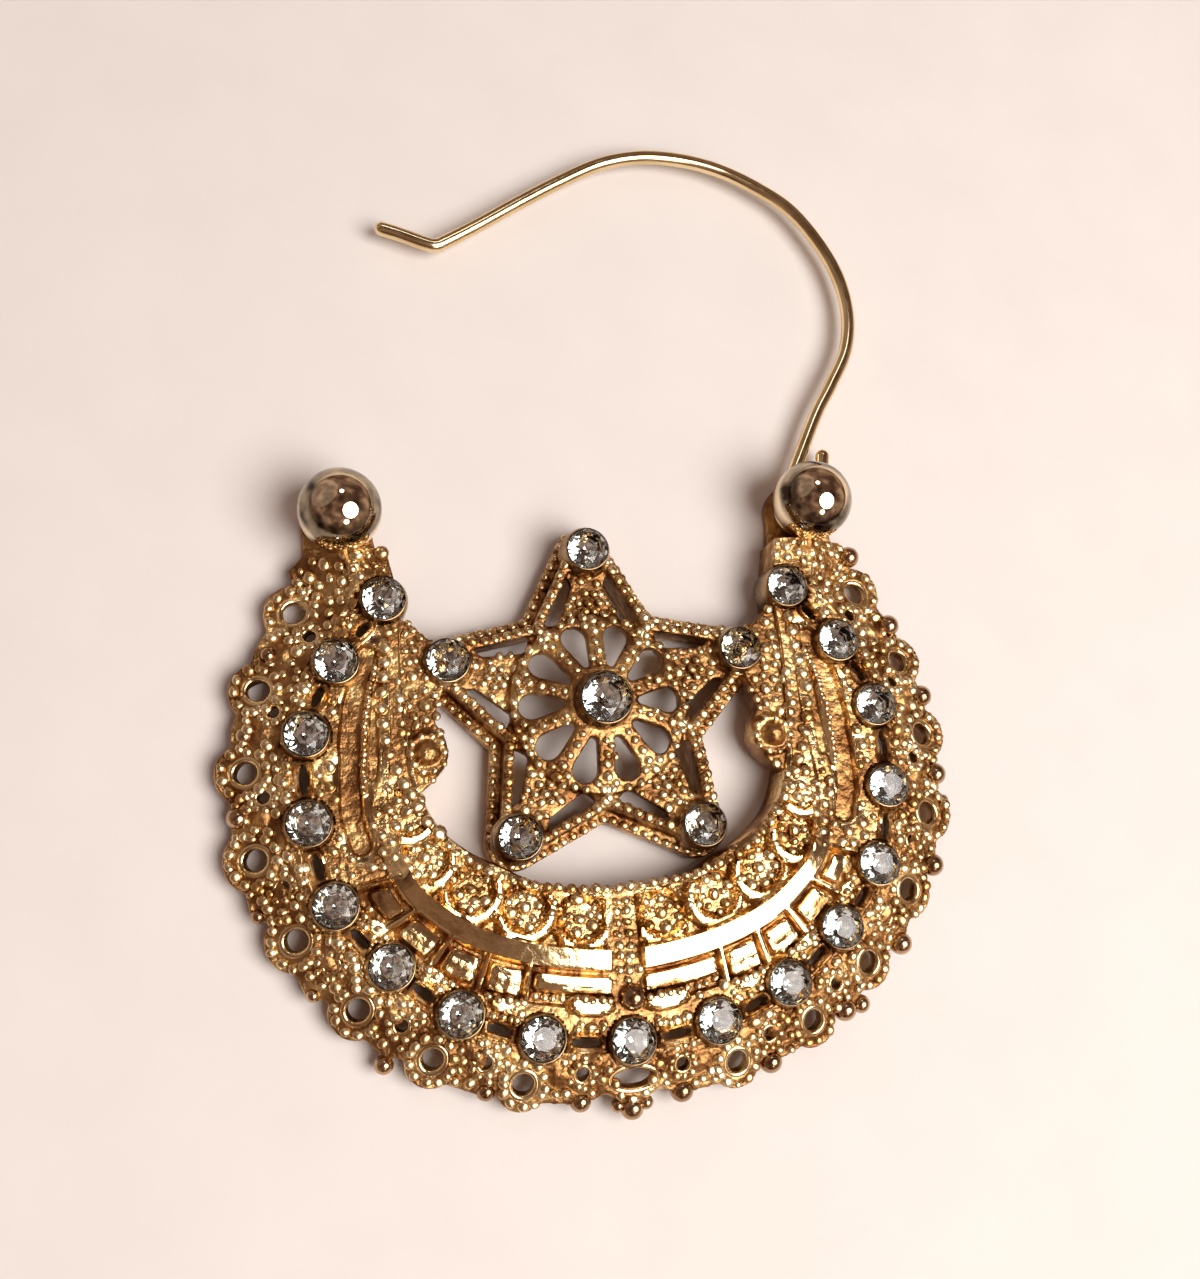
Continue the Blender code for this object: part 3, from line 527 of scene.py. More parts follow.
def cells():
    """Middle and half length of each pillow's cell on the right half, along the rail."""
    bars = along_rail(np.array(BARS))
    edges = [AXIS_GAP - BAR_HALF_WIDTH - GROOVE, *bars]
    return [((a + b) / 2, (b - a) / 2 - BAR_HALF_WIDTH - GROOVE) for a, b in zip(edges, edges[1:])]


def rounded_box(x, y, half_x, half_y, corner):
    """Distance to a rectangle with rounded corners, negative inside it."""
    qx, qy = np.abs(x) - half_x + corner, np.abs(y) - half_y + corner
    return np.hypot(np.maximum(qx, 0.0), np.maximum(qy, 0.0)) + np.minimum(np.maximum(qx, qy), 0.0) - corner


def scale_heights(height, x, y, away, from_inner, from_rail):
    """The height with the scales' round discs and the smooth lips that half surround them."""
    relief = height
    for centre in both_sides(SCALES):
        side = 1.0 if centre[0] > 0.0 else -1.0
        facing = direction(SCALE_FAN, centre) - side * SCALE_LIP["turn"]
        gone = np.hypot(x - centre[0], y - centre[1])
        bearing = np.degrees(np.arctan2(y - centre[1], x - centre[0])) - facing
        bearing = np.abs((bearing + 180.0) % 360.0 - 180.0) / SCALE_LIP["reach"]
        width = SCALE_LIP["width"] * np.sqrt(np.clip(1.0 - bearing ** 2, 0.0, 1.0))
        middle = polar(SCALE_LIP["inner"] + 0.4 * SCALE_LIP["width"], facing, centre)
        across_lip = (gone - SCALE_LIP["inner"] - 0.4 * width) / (0.6 * width + 0.08)
        top = leaning(SCALE_LIP["height"], x, y, middle) - 0.1 * across_lip ** 2
        lip = rise(gone, SCALE_LIP["inner"], 0.1) * rise(-gone, -SCALE_LIP["inner"] - width, 0.1)
        relief = lifted(relief, top, lip * rise(width, 0.2, 0.1))
        relief = lifted(relief, SCALE_ZONE["groove"], rise(-gone, -SCALE_LIP["inner"], 0.1))
        relief = lifted(relief, SCALE_ZONE["disc"], rise(-gone, -SCALE_ZONE["disc_radius"], 0.1))
    zone = (rise(from_inner, SCALE_ZONE["inside"], 0.08) * rise(-from_rail, SCALE_ZONE["rail_gap"], 0.05)
            * rise(-away, -SCALE_ZONE["last"], 0.1) * rise(np.abs(x), AXIS_GAP, 0.05))
    return lifted(height, relief, zone)


def arm_heights(height, x, y):
    """The height with the arms' two channels and the rope's ridge between them."""
    for row in ARM_RELIEF:
        share = rise(-distance_to(row["line"], x, y), -row["half_width"], row["soft"])
        height = height + row["change"] * share
    return height


def cell_heights(height, along, away, from_rail):
    """The height with the sunk cells, their pillows, the bars and the rail."""
    top = RAIL_HEIGHT - SLOPE * from_rail
    last = along_rail(np.array([BARS[-1]]))[0]
    band = (rise(from_rail, 0.4, 0.05) * rise(-from_rail, -BAR_REACH, 0.08)
            * rise(along, AXIS_GAP, 0.06) * rise(-along, -last, 0.06))
    height = lifted(height, top - CELL_DEPTH, band)
    for (middle, half), (near, far) in zip(cells(), PILLOWS):
        distance = rounded_box(along - middle, from_rail - 0.5 * (near + far) - 0.08, half,
                               0.5 * (far - near) - 0.08, PILLOW_CORNER)
        dome = 0.03 * np.clip(-distance / 0.4, 0.0, 1.0)
        height = lifted(height, top + dome, rise(-distance, 0.0, 0.07))
    for bar in BARS:
        position = along_rail(np.array([bar]))[0]
        amount = (rise(-np.abs(along - position), -BAR_HALF_WIDTH, 0.06) * rise(from_rail, 0.1, 0.1)
                  * rise(-from_rail, -BAR_REACH, 0.07))
        height = lifted(height, top + BAR_RISE, amount)
    rail = (rise(-np.abs(from_rail), -RAIL_HALF_WIDTH, 0.06) * rise(along, AXIS_GAP, 0.06)
            * rise(-away, -RAIL_FADE[0], RAIL_FADE[1]))
    return lifted(height, top + 0.05, rail)


# %% The whole relief


def band_heights(stations, across, places):
    """Height of the crescent's front at each place of the map."""
    x, y = places[..., 0], places[..., 1]
    away = np.abs(stations)[:, None]
    anchors = crescent_map(stations, np.array([0.0, 1.0, 2.0]))
    inner_gap = np.hypot(*(anchors[:, 1] - anchors[:, 0]).T)[:, None]
    outer_gap = np.hypot(*(anchors[:, 2] - anchors[:, 1]).T)[:, None]
    from_rail = np.where(across < 1.0, (across - 1.0) * inner_gap, (across - 1.0) * outer_gap)
    along = np.abs(along_rail(stations))[:, None]
    height = np.broadcast_to(np.interp(across, BASE_ACROSS, BASE_HEIGHT), x.shape).copy()
    height = lifted(height, 2.78, 0.6 * rise(away, 7.5, 0.5))
    height = scale_heights(height, x, y, away, across * inner_gap, from_rail)
    height = arm_heights(height, x, y)
    height = cell_heights(height, along, away, from_rail)
    for middle, ahead in slot_places():
        u, v = along_and_beside(x, y, middle, ahead)
        edge = rounded_box(u, v, 0.5 * slot_length(middle), 0.5 * SLOT["width"], 0.49 * SLOT["width"])
        height += SLOT["rim"] * rise(-np.abs(edge - 0.08), -0.1, 0.08)
    for leaf, middle, ahead in leaf_places():
        u, v = along_and_beside(x, y, middle, ahead)
        r2 = (2 * u / leaf["length"]) ** 2 + (2 * v / leaf["width"]) ** 2
        top = leaning(LEAF_HEIGHT, x, y, middle) + leaf["rise"]
        height = lifted(height, top, rise(-np.sqrt(r2), -0.92, 0.14))
    for stone in STONES:
        distance = np.hypot(x - stone[0], y - stone[1])
        height = np.where(distance < PIT_RADIUS, PIT_FLOOR, height)
    return height


print("relief:", len(BARS), "bars and", len(SCALES), "scales a side,", len(slot_places()), "slots")

# %% [markdown]
# The crescent's mesh
#
# Sections from one neck to the other are joined into a closed skin: the relief on top, a wall down to
# the table on the inner side, and a hollow underneath, which such castings have to save metal.

# %% Mesh of the crescent
SECTIONS = 641
ACROSS = np.concatenate([np.linspace(0.0, 0.85, 28, endpoint=False),
                         np.linspace(0.85, 1.95, 44, endpoint=False), np.linspace(1.95, 2.3, 9)])
STATIONS = np.linspace(-NECK, NECK, SECTIONS)
PLACES = crescent_map(STATIONS, ACROSS)
HEIGHTS = band_heights(STATIONS, ACROSS, PLACES)
UNDERSIDE = ((2.3, 1.75), (2.1, 1.85), (1.9, 1.95), (1.2, 2.0), (0.6, 2.0))
WALL_SHARE = 0.085
WALL_TOP = 2.0
NECK_FOOT = 0.2


def lofted(rings):
    """Closed mesh through rings of points that all have the same number."""
    count = len(rings[0])
    points = [tuple(p) for ring in rings for p in ring]
    faces = []
    for s in range(len(rings) - 1):
        for n in range(count):
            m = (n + 1) % count
            a, b = s * count, (s + 1) * count
            faces.append((a + n, b + n, b + m, a + m))
    faces.append(tuple(range(count)))
    faces.append(tuple(range((len(rings) - 1) * count, len(rings) * count))[::-1])
    mesh = bpy.data.meshes.new("loft")
    mesh.from_pydata(points, [], faces)
    return mesh


def outward(mesh):
    """The same mesh with its doubles merged and its faces pointing out."""
    bm = bmesh.new()
    bm.from_mesh(mesh)
    bmesh.ops.remove_doubles(bm, verts=bm.verts, dist=0.0005)
    bmesh.ops.recalc_face_normals(bm, faces=bm.faces)
    bm.to_mesh(mesh)
    bm.free()
    return mesh


def crescent_mesh():
    """Shell with the relief on top; near the necks its underside drops to their foot."""
    under = crescent_map(STATIONS, np.array([row[0] for row in UNDERSIDE]))
    ends = crescent_map(STATIONS, np.array([0.0, 3.0]))
    wall = ends[:, 0] + WALL_SHARE * (ends[:, 1] - ends[:, 0])
    drop = np.clip(np.abs(STATIONS) - NECK + 1.0, 0.0, 1.0)
    rings = []
    for s in range(SECTIONS):
        below = [(*under[s, n], row[1]) for n, row in enumerate(UNDERSIDE)]
        below += [(*wall[s], WALL_TOP), (*wall[s], 0.0), (*ends[s, 0], 0.0)]
        below = [(x, y, z + (NECK_FOOT - z) * drop[s]) for x, y, z in below]
        rings.append([(*PLACES[s, n], HEIGHTS[s, n]) for n in range(len(ACROSS))] + below)
    return outward(lofted(rings))


# %% [markdown]
# Placing a finished piece
#
# A mesh drawn in millimetres from the star's middle is scaled and moved by its data, so that its
# object stays at the origin, unturned and unscaled. The piece then rides on a body and stands for
# the solids that it replaces. Most pieces are parts of the casting, so that is what a piece is if
# nothing else is said.

# %% Place, shade and attach a piece
SHARP = math.radians(38.0)
PIECES = []


def finished(name, mesh, material=None, sharp=SHARP, body="earring",
             nodes=("earring_body",)):
    """Place and attach a mesh drawn in mm; without a material it keeps its own."""
    mesh.name = name
    mesh.transform(Matrix.Translation(STAR_MIDDLE) @ Matrix.Scale(MM, 4))
    mesh.shade_smooth()
    if sharp:
        mesh.set_sharp_from_angle(angle=sharp)
    if material:
        mesh.materials.clear()
        mesh.materials.append(material)
    item = linked(mesh, name)
    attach(item, body)
    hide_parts(*nodes)
    PIECES.append(item)
    mesh.calc_loop_triangles()
    print(name, "has", len(mesh.loop_triangles), "triangles")
    return item


def linked(mesh, name="guide"):
    """Object of the scene that holds a mesh or a curve."""
    item = bpy.data.objects.new(name, mesh)
    scene.collection.objects.link(item)
    return item


def evaluated(item):
    """Plain mesh of an object as its modifiers leave it; the object is removed."""
    mesh = bpy.data.meshes.new_from_object(item.evaluated_get(bpy.context.evaluated_depsgraph_get()))
    bpy.data.objects.remove(item, do_unlink=True)
    return mesh


def mesh_from(bm):
    """Mesh with what a bmesh holds; the bmesh is freed."""
    mesh = bpy.data.meshes.new("piece")
    bm.to_mesh(mesh)
    bm.free()
    return mesh


def join(pieces):
    """One bmesh that holds all the pieces."""
    joined = bmesh.new()
    for piece in pieces:
        mesh = mesh_from(piece)
        joined.from_mesh(mesh)
        bpy.data.meshes.remove(mesh)
    return joined


def write_values(mesh, name, values):
    """Write a number for each point of a mesh, under a name that materials and trees can read."""
    mesh.attributes.new(name, "FLOAT", "POINT").data.foreach_set("value", np.array(values, np.float32))


# %% [markdown]
# Slots between the stones
#
# A long slot pierces the casting between each two cups. An oval post is taken out of the skin by a
# boolean there, since the map's faces are too coarse for so narrow an opening.

# %% Slots between the stones


def oval_post(centre, turn, length, width, bottom, top, sides):
    """Upright post with an oval section."""
    bm = bmesh.new()
    place = (Matrix.Translation((*centre, 0.5 * (bottom + top)))
             @ Matrix.Rotation(math.radians(turn), 4, "Z")
             @ Matrix.Diagonal((0.5 * length, 0.5 * width, 1.0, 1.0)))
    bmesh.ops.create_cone(bm, cap_ends=True, segments=sides, radius1=1.0, radius2=1.0,
                          depth=top - bottom, matrix=place)
    return bm


def round_post(centre, radius, bottom, top):
    return oval_post(centre, 0.0, 2 * radius, 2 * radius, bottom, top, 32)


# %% Cutting with a boolean


def cut_from(mesh, cutters):
    """Mesh with the cutters' space taken out of it."""
    base, cutter = linked(mesh), linked(mesh_from(join(cutters)), "cutter")
    boolean = base.modifiers.new("cut", "BOOLEAN")
    boolean.operation = "DIFFERENCE"
    boolean.solver = "MANIFOLD"
    boolean.object = cutter
    result = evaluated(base)
    bpy.data.objects.remove(cutter, do_unlink=True)
    return result


def slot_post(middle, ahead):
    return oval_post(middle, direction(middle, ahead), slot_length(middle), SLOT["width"], SLOT["low"],
                     SLOT["high"], SLOT["sides"])


band = cut_from(crescent_mesh(), [slot_post(*place) for place in slot_places()])
print("the band has", len(band.vertices), "vertices after", len(slot_places()), "cuts")

# %% [markdown]
# Polish and painted light
#
# A polishing wheel reaches what stands proud and leaves it smoother, and here it is also painted
# paler, a painted sheen, while the hollows stay darker, partly patina and partly painted shade. What
# stands proud is what lies above the average of its surroundings, so the heights are averaged over a
# bit more than a millimetre and compared. The rail and the scales' discs are bright in the photo, so
# they are made smoother and painted paler too, a painted sheen. Close round the cups the metal is
# painted darker, a painted shade. The result goes to the mesh as an attribute that the metal reads.

# %% Polish and painted light of the crescent
AVERAGED = {"along": 9, "across": 6}
PROUD = 0.07
RAIL_FROM = 3.0
DISC_POLISH_AND_PAINTED_SHEEN = {"amount": 0.4, "radius": 1.8, "soft": 0.3}
CUP_SHADE = {"radius": 1.85, "soft": 0.3}


def averaged(values, reach, axis):
    """Mean of each value and its neighbours up to a reach away along an axis."""
    pad = [(0, 0), (0, 0)]
    pad[axis] = (reach, reach)
    wide = np.pad(values, pad, mode="edge")
    count = values.shape[axis]
    parts = [np.take(wide, range(n, n + count), axis=axis) for n in range(2 * reach + 1)]
    return sum(parts) / len(parts)


def front_polish_and_painted_light():
    """How polished each place of the front is, from 0 to 1; high values also paint it paler, a painted sheen,
    and low values leave it darker, as painted shade.
    """
    around = averaged(averaged(HEIGHTS, AVERAGED["along"], 0), AVERAGED["across"], 1)
    # Proud places and the rail are polished and painted paler, a painted sheen; the rest stays darker, as
    # painted shade.
    smooth = np.maximum(rise(HEIGHTS - around, PROUD, 0.05), rise(HEIGHTS, RAIL_FROM, 0.06))
    # Each disc is partly polished and painted paler, a painted sheen.
    for x, y in both_sides(SCALES):
        gone = np.hypot(PLACES[..., 0] - x, PLACES[..., 1] - y)
        disc = DISC_POLISH_AND_PAINTED_SHEEN["amount"] * rise(-gone, -DISC_POLISH_AND_PAINTED_SHEEN["radius"], DISC_POLISH_AND_PAINTED_SHEEN["soft"])
        smooth = np.maximum(smooth, disc)
    # Round each cup the front is painted darker, a painted shade.
    for x, y in STONES:
        gone = np.hypot(PLACES[..., 0] - x, PLACES[..., 1] - y)
        smooth = smooth * rise(gone, CUP_SHADE["radius"], CUP_SHADE["soft"])
    return smooth


def tree_of_places():
    """Search tree over the places of the front."""
    tree = KDTree(HEIGHTS.size)
    for n, (x, y) in enumerate(PLACES.reshape(-1, 2)):
        tree.insert((x, y, 0.0), n)
    tree.balance()
    return tree


GRID_TREE, GRID_HEIGHTS, GRID_POLISH_AND_PAINTED_LIGHT = tree_of_places(), HEIGHTS.ravel(), front_polish_and_painted_light().ravel()
print("polish of the front:", round(float(GRID_POLISH_AND_PAINTED_LIGHT.mean()), 3), "on average")


def nearest_on_grid(x, y):
    return GRID_TREE.find((x, y, 0.0))[1]


def on_band(points, above):
    """Points on the crescent's front, raised by a height, from the nearest place of its map."""
    return [(x, y, GRID_HEIGHTS[nearest_on_grid(x, y)] + above) for x, y in points]


def write_polish_and_painted_light(mesh):
    """Write the polish, with its painted light, of the nearest place of the front to each vertex above the
    underside.
    """
    write_values(mesh, "polish_and_painted_light", [GRID_POLISH_AND_PAINTED_LIGHT[nearest_on_grid(v.co.x, v.co.y)] if v.co.z > WALL_TOP else 0.0
                                  for v in mesh.vertices])


write_polish_and_painted_light(band)
finished("crescent_band", band, cast_gold)

# %% [markdown]
# The lace border
#
# Outside the stones the casting is pierced lace: a ring round each eyelet, a small ring between
# each pair of stones, and smooth domes between the loops. Drawn flat, as a plate with rings on
# it, it is easy to lay out. One skin is then grown round everything, which rounds the inner
# corners like molten wax, and the flat sheet is bent down over the slope, with its holes square to
# the surface as the real ones are.

# %% Lace layout
EYELETS = (
    {"x": 0.0, "y": -19.2, "radius": 1.35, "hole": 0.5, "stretch": 2.0},
    {"x": 5.6, "y": -18.95, "radius": 1.4, "hole": 0.55, "stretch": 1.0},
    {"x": 10.0, "y": -17.3, "radius": 1.45, "hole": 0.55, "stretch": 1.0},
    {"x": 13.5, "y": -14.6, "radius": 1.5, "hole": 0.58, "stretch": 1.0},
    {"x": 16.3, "y": -11.0, "radius": 1.6, "hole": 0.6, "stretch": 1.0},
    {"x": 18.1, "y": -6.9, "radius": 1.65, "hole": 0.6, "stretch": 1.0},
    {"x": 18.4, "y": -2.5, "radius": 1.6, "hole": 0.6, "stretch": 1.0},
    {"x": 17.6, "y": 1.7, "radius": 1.55, "hole": 0.6, "stretch": 1.0},
    {"x": 15.6, "y": 5.75, "radius": 1.6, "hole": 0.6, "stretch": 1.0},
)
LACE_NOTCHES = ((2.7, -20.3), (7.7, -19.35), (12.2, -17.1), (15.9, -13.9), (18.4, -9.8), (19.3, -4.75),
                (19.1, -0.25), (17.7, 3.95), (15.8, 8.1))
LACE_FAN_CENTRE = (0.0, -3.8)
LACE_THICKNESS = 0.55
LACE_TOP = {"at_stones": 2.8, "slope": 0.46, "lowest": 1.2}
LACE_INSIDE = 2.15
LACE_VOXEL = 0.1
ARC_STEP = 10.0
SMALL_HOLE = {"radius": 0.36, "across": 2.45}
EYELET_RAISED = {"away": 0.3, "thickness": 0.28, "depth": -0.1}
SMALL_RAISED = {"away": 0.2, "thickness": 0.2, "depth": -0.06}
LACE_DOMES = ((1.95, -18.25), (3.7, -18.7), (7.9, -17.5), (11.85, -15.0), (14.9, -12.1), (16.9, -8.7),
              (17.7, -4.7), (17.5, -0.4), (16.3, 3.6))
DOME_SIZE = (1.3, 0.75, 0.55)
RING_SIDES = (28, 10)


def eyelet_centres():
    """Middle of each eyelet on both halves, with its row of the table."""
    return [(side * row["x"], row["y"], row) for row in EYELETS
            for side in ((-1.0, 1.0) if row["x"] > 0.01 else (1.0,))]


def lace_outline():
    """Scalloped outer edge from the left neck to the right, and back just outside the stones."""
    right = []
    for row, notch in zip(EYELETS, LACE_NOTCHES):
        centre = (row["x"], row["y"])
        facing = direction(LACE_FAN_CENTRE, centre)
        first = -60.0 if centre[0] > 0.0 else 0.0
        right += [polar(row["radius"], facing + a, centre) for a in np.arange(first, 61.0, ARC_STEP)]
        right.append(notch)
    right.append(crescent_point(NECK, 2.95))
    inside = [crescent_point(0.25 * n, LACE_INSIDE) for n in range(int(4 * NECK), -1, -1)]
    return mirrored(right[:0:-1]) + right + inside + mirrored(inside[-2::-1])


# %% Plates, rings and domes


def plate(outlines, bottom, top):
    """Flat plate from outlines: the first is its edge and the others are holes."""
    curve = bpy.data.curves.new("outline", "CURVE")
    curve.dimensions = "2D"
    curve.fill_mode = "BOTH"
    curve.extrude = 0.5 * (top - bottom)
    for outline in outlines:
        spline = curve.splines.new("POLY")
        spline.points.add(len(outline) - 1)
        spline.points.foreach_set("co", [v for x, y in outline for v in (x, y, 0.0, 1.0)])
        spline.use_cyclic_u = True
    mesh = evaluated(linked(curve))
    bm = bmesh.new()
    bm.from_mesh(mesh)
    bmesh.ops.remove_doubles(bm, verts=bm.verts, dist=0.0005)
    bmesh.ops.translate(bm, verts=bm.verts, vec=(0.0, 0.0, 0.5 * (bottom + top)))
    bmesh.ops.recalc_face_normals(bm, faces=bm.faces)
    return bm


def circle(centre, radius, sides, stretch=1.0):
    return [(centre[0] + stretch * (x - centre[0]), y)
            for x, y in (polar(radius, 360.0 * n / sides, centre) for n in range(sides))]


def ring(centre, radius, thickness, height, stretch=1.0, flatness=1.0):
    """Torus round a hole, stretched along X and flattened along Z if asked."""
    bm = bmesh.new()
    sides, around = RING_SIDES
    loops = []
    for n in range(sides):
        a = 2.0 * math.pi * n / sides
        loop = []
        for m in range(around):
            b = 2.0 * math.pi * m / around
            r = radius + thickness * math.cos(b)
            x = centre[0] + r * math.cos(a) + (stretch - 1.0) * radius * math.cos(a)
            y = centre[1] + r * math.sin(a)
            loop.append(bm.verts.new((x, y, height + flatness * thickness * math.sin(b))))
        loops.append(loop)
    for n, loop in enumerate(loops):
        ahead = loops[(n + 1) % sides]
        for m in range(around):
            bm.faces.new((loop[m], ahead[m], ahead[(m + 1) % around], loop[(m + 1) % around]))
    bmesh.ops.recalc_face_normals(bm, faces=bm.faces)
    return bm


def dome(centre, size, height, turn, segments=16):
    """Ellipsoid: its length, width and height are given, and its length lies along turn."""
    bm = bmesh.new()
    place = (Matrix.Translation((*centre, height)) @ Matrix.Rotation(math.radians(turn), 4, "Z")
             @ Matrix.Diagonal((0.5 * size[0], 0.5 * size[1], 0.5 * size[2], 1.0)))
    bmesh.ops.create_uvsphere(bm, u_segments=segments, v_segments=segments // 2, radius=1.0, matrix=place)
    return bm


def fused(bm, voxel, rounds):
    """One skin round all the closed bodies, smoothed by a few rounds like a polished casting."""
    item = linked(mesh_from(bm))
    remesh = item.modifiers.new("skin", "REMESH")
    remesh.mode = "VOXEL"
    remesh.voxel_size = voxel
    remesh.adaptivity = 0.0
    smooth = item.modifiers.new("soft", "SMOOTH")
    smooth.factor = 0.5
    smooth.iterations = rounds
    return evaluated(item)


# %% Bending the flat lace


def coordinates_of(mesh):
    flat = np.empty(3 * len(mesh.vertices))
    mesh.vertices.foreach_get("co", flat)
    return flat.reshape(-1, 3)


STONE_LINE = crescent_map(np.linspace(-NECK, NECK, 361), 2.0)[:, 0]


def lace_top(x, y):
    """Height of the lace's front, which slopes down outwards from the stone row."""
    x, y = np.atleast_1d(x), np.atleast_1d(y)
    nearest = np.full(x.shape, 1e9)
    for px, py in STONE_LINE[::2]:
        nearest = np.minimum(nearest, (x - px) ** 2 + (y - py) ** 2)
    height = LACE_TOP["at_stones"] - LACE_TOP["slope"] * np.sqrt(nearest)
    return np.maximum(LACE_TOP["lowest"], height)


def on_slope(points):
    """Points of the flat lace, with their depth kept square to the bent surface."""
    x, y, depth = points.T
    step = 0.15
    height = lace_top(x, y)
    slope_x = (lace_top(x + step, y) - lace_top(x - step, y)) / (2 * step)
    slope_y = (lace_top(x, y + step) - lace_top(x, y - step)) / (2 * step)
    size = np.sqrt(slope_x ** 2 + slope_y ** 2 + 1.0)
    return np.stack([x - depth * slope_x / size, y - depth * slope_y / size, height + depth / size], 1)


def bent(mesh):
    """The flat mesh, bent down over the lace's slope."""
    mesh.vertices.foreach_set("co", on_slope(coordinates_of(mesh)).ravel())
    mesh.update()
    return mesh


# %% Lace


def small_hole_centres():
    return [crescent_point(side * (n + 0.5), SMALL_HOLE["across"]) for n in range(8) for side in (-1.0, 1.0)]


def opening_ring(centre, hole, shape, stretch=1.0):
    """Ring round an opening, away from its edge, in a shape from a table."""
    return ring(centre, hole + shape["away"], shape["thickness"], shape["depth"], stretch,
                shape.get("flatness", 1.0))


def lace_mesh():
    holes, raised = [], []
    for x, y, row in eyelet_centres():
        holes.append(circle((x, y), row["hole"], 28, row["stretch"]))
        raised.append(opening_ring((x, y), row["hole"], EYELET_RAISED, row["stretch"]))
    for centre in small_hole_centres():
        holes.append(circle(centre, SMALL_HOLE["radius"], 16))
        raised.append(opening_ring(centre, SMALL_HOLE["radius"], SMALL_RAISED))
    for centre in both_sides(LACE_DOMES):
        raised.append(dome(centre, DOME_SIZE, -0.05, direction(LACE_FAN_CENTRE, centre) + 90.0))
    sheet = plate([lace_outline()] + holes, -LACE_THICKNESS, 0.0)
    return bent(fused(join([sheet] + raised), LACE_VOXEL, 2))


lace = lace_mesh()
LACE_TREE = BVHTree.FromPolygons([v.co for v in lace.vertices], [p.vertices for p in lace.polygons])
finished("lace_border", lace, cast_gold, sharp=None)

# %% [markdown]
# Bright rims of the openings
#
# The edge of each hole is rubbed bright by wear, and in the photo it is the clearest line of the
# lace. A thin ring of a paler, smoother gold lies on each edge and is bent down with the same slope.

# %% Bright rims of the openings
EYELET_RIM = {"away": 0.14, "thickness": 0.17, "depth": 0.02, "flatness": 0.9}
SMALL_RIM = {"away": 0.06, "thickness": 0.11, "depth": 0.02}


def opening_rims():
    rims = [opening_ring((x, y), row["hole"], EYELET_RIM, row["stretch"]) for x, y, row in eyelet_centres()]
    rims += [opening_ring(centre, SMALL_HOLE["radius"], SMALL_RIM) for centre in small_hole_centres()]
    return bent(mesh_from(join(rims)))


finished("opening_rims", opening_rims(), rim_gold, sharp=None)

# %% [markdown]
# The star
#
# The star's rim has two steps with a smooth channel between them: a low outer one and a higher
# inner one. Beside each arm's middle runs a long gap, and a domed flower with ten petal-shaped
# openings fills the middle. The same skin as on the lace joins the plates, and the flower is
# domed before it is joined.

# %% Star layout
STAR_STONE_DISTANCE = math.hypot(*STAR_STONES[0])
STAR_NOTCH_DISTANCE = 6.15
STAR_TIP_RADIUS = 1.55
RIM_STEPS = (
    {"inset": 0.0, "width": 0.5, "low": 0.3, "high": 1.15},
    {"inset": 0.3, "width": 0.5, "low": 0.3, "high": 0.95},
    {"inset": 0.62, "width": 0.5, "low": 0.6, "high": 2.35},
)
WEB = {"inset": 0.9, "low": 1.5, "high": 2.05, "opening": 4.45}
FLOWER = {"radius": 4.85, "edge": 2.35, "rise": 0.9, "thickness": 0.7}
GAP = ({"inset": 1.14, "along": 0.6}, {"inset": 1.14, "along": 3.7}, {"inset": 1.62, "along": 3.5},
       {"inset": 1.95, "along": 1.28})
PETAL = {"start": 1.95, "end": 4.38, "width": 1.36, "neck": 0.17}
PETAL_COUNT = 10
STAR_POST = {"radius": 1.38, "low": 1.35, "high": 2.3}
STAR_PIT = {"radius": 1.15, "high": 4.0}
CENTRE_PIT = {"radius": 1.4, "low": 3.0, "high": 5.0}
FLOWER_VOXEL = 0.14
STAR_VOXEL = 0.095
ARMS = [90.0 - 72.0 * n for n in range(5)]


def star_side():
    """Direction of the side of a star point that lies along +X."""
    notch, stone = polar(STAR_NOTCH_DISTANCE, 36.0), (STAR_STONE_DISTANCE, 0.0)
    return direction(notch, stone) + math.degrees(math.asin(STAR_TIP_RADIUS / math.dist(notch, stone)))


def notch_distance(inset):
    """Distance of the star's inner corners from its middle, for an outline inset from the edge."""
    return STAR_NOTCH_DISTANCE - inset / math.sin(math.radians(36.0 - star_side()))


def star_outline(inset, per_tip=8):
    """Star with rounded tips, drawn clockwise, inset from its outer edge."""
    half_arc = 90.0 + star_side()
    points = []
    for facing in ARMS:
        centre = polar(STAR_STONE_DISTANCE, facing)
        points += [polar(STAR_TIP_RADIUS - inset, facing - half_arc * n / per_tip, centre)
                   for n in range(-per_tip, per_tip + 1)]
        points.append(polar(notch_distance(inset), facing - 36.0))
    return points


def side_point(row):
    """Place on a line inset from a side, for a star point that lies along +X."""
    return polar(row["along"], star_side(), polar(notch_distance(row["inset"]), 36.0))


def turned(points, angle):
    return [polar(math.hypot(x, y), math.degrees(math.atan2(y, x)) + angle) for x, y in points]


def arm_gaps(angle):
    """The two long gaps of a star point, one along each side of its middle strip."""
    right = [side_point(row) for row in GAP]
    left = [(x, -y) for x, y in right]
    return [turned(right, angle), turned(left, angle)]


def petal(angle):
    """Pear-shaped opening of the flower, narrow towards the centre stone."""
    middle = PETAL["end"] - 0.5 * PETAL["width"]
    points = [(PETAL["start"], -PETAL["neck"]), (PETAL["start"], PETAL["neck"])]
    points += [polar(0.5 * PETAL["width"], a, (middle, 0.0)) for a in np.arange(110.0, -111.0, -14.0)]
    return turned(points, angle)


# %% Flower and star


def flower_top(x, y):
    """Height of the flower's dome."""
    return FLOWER["edge"] + FLOWER["rise"] * (1.0 - (x ** 2 + y ** 2) / FLOWER["radius"] ** 2)


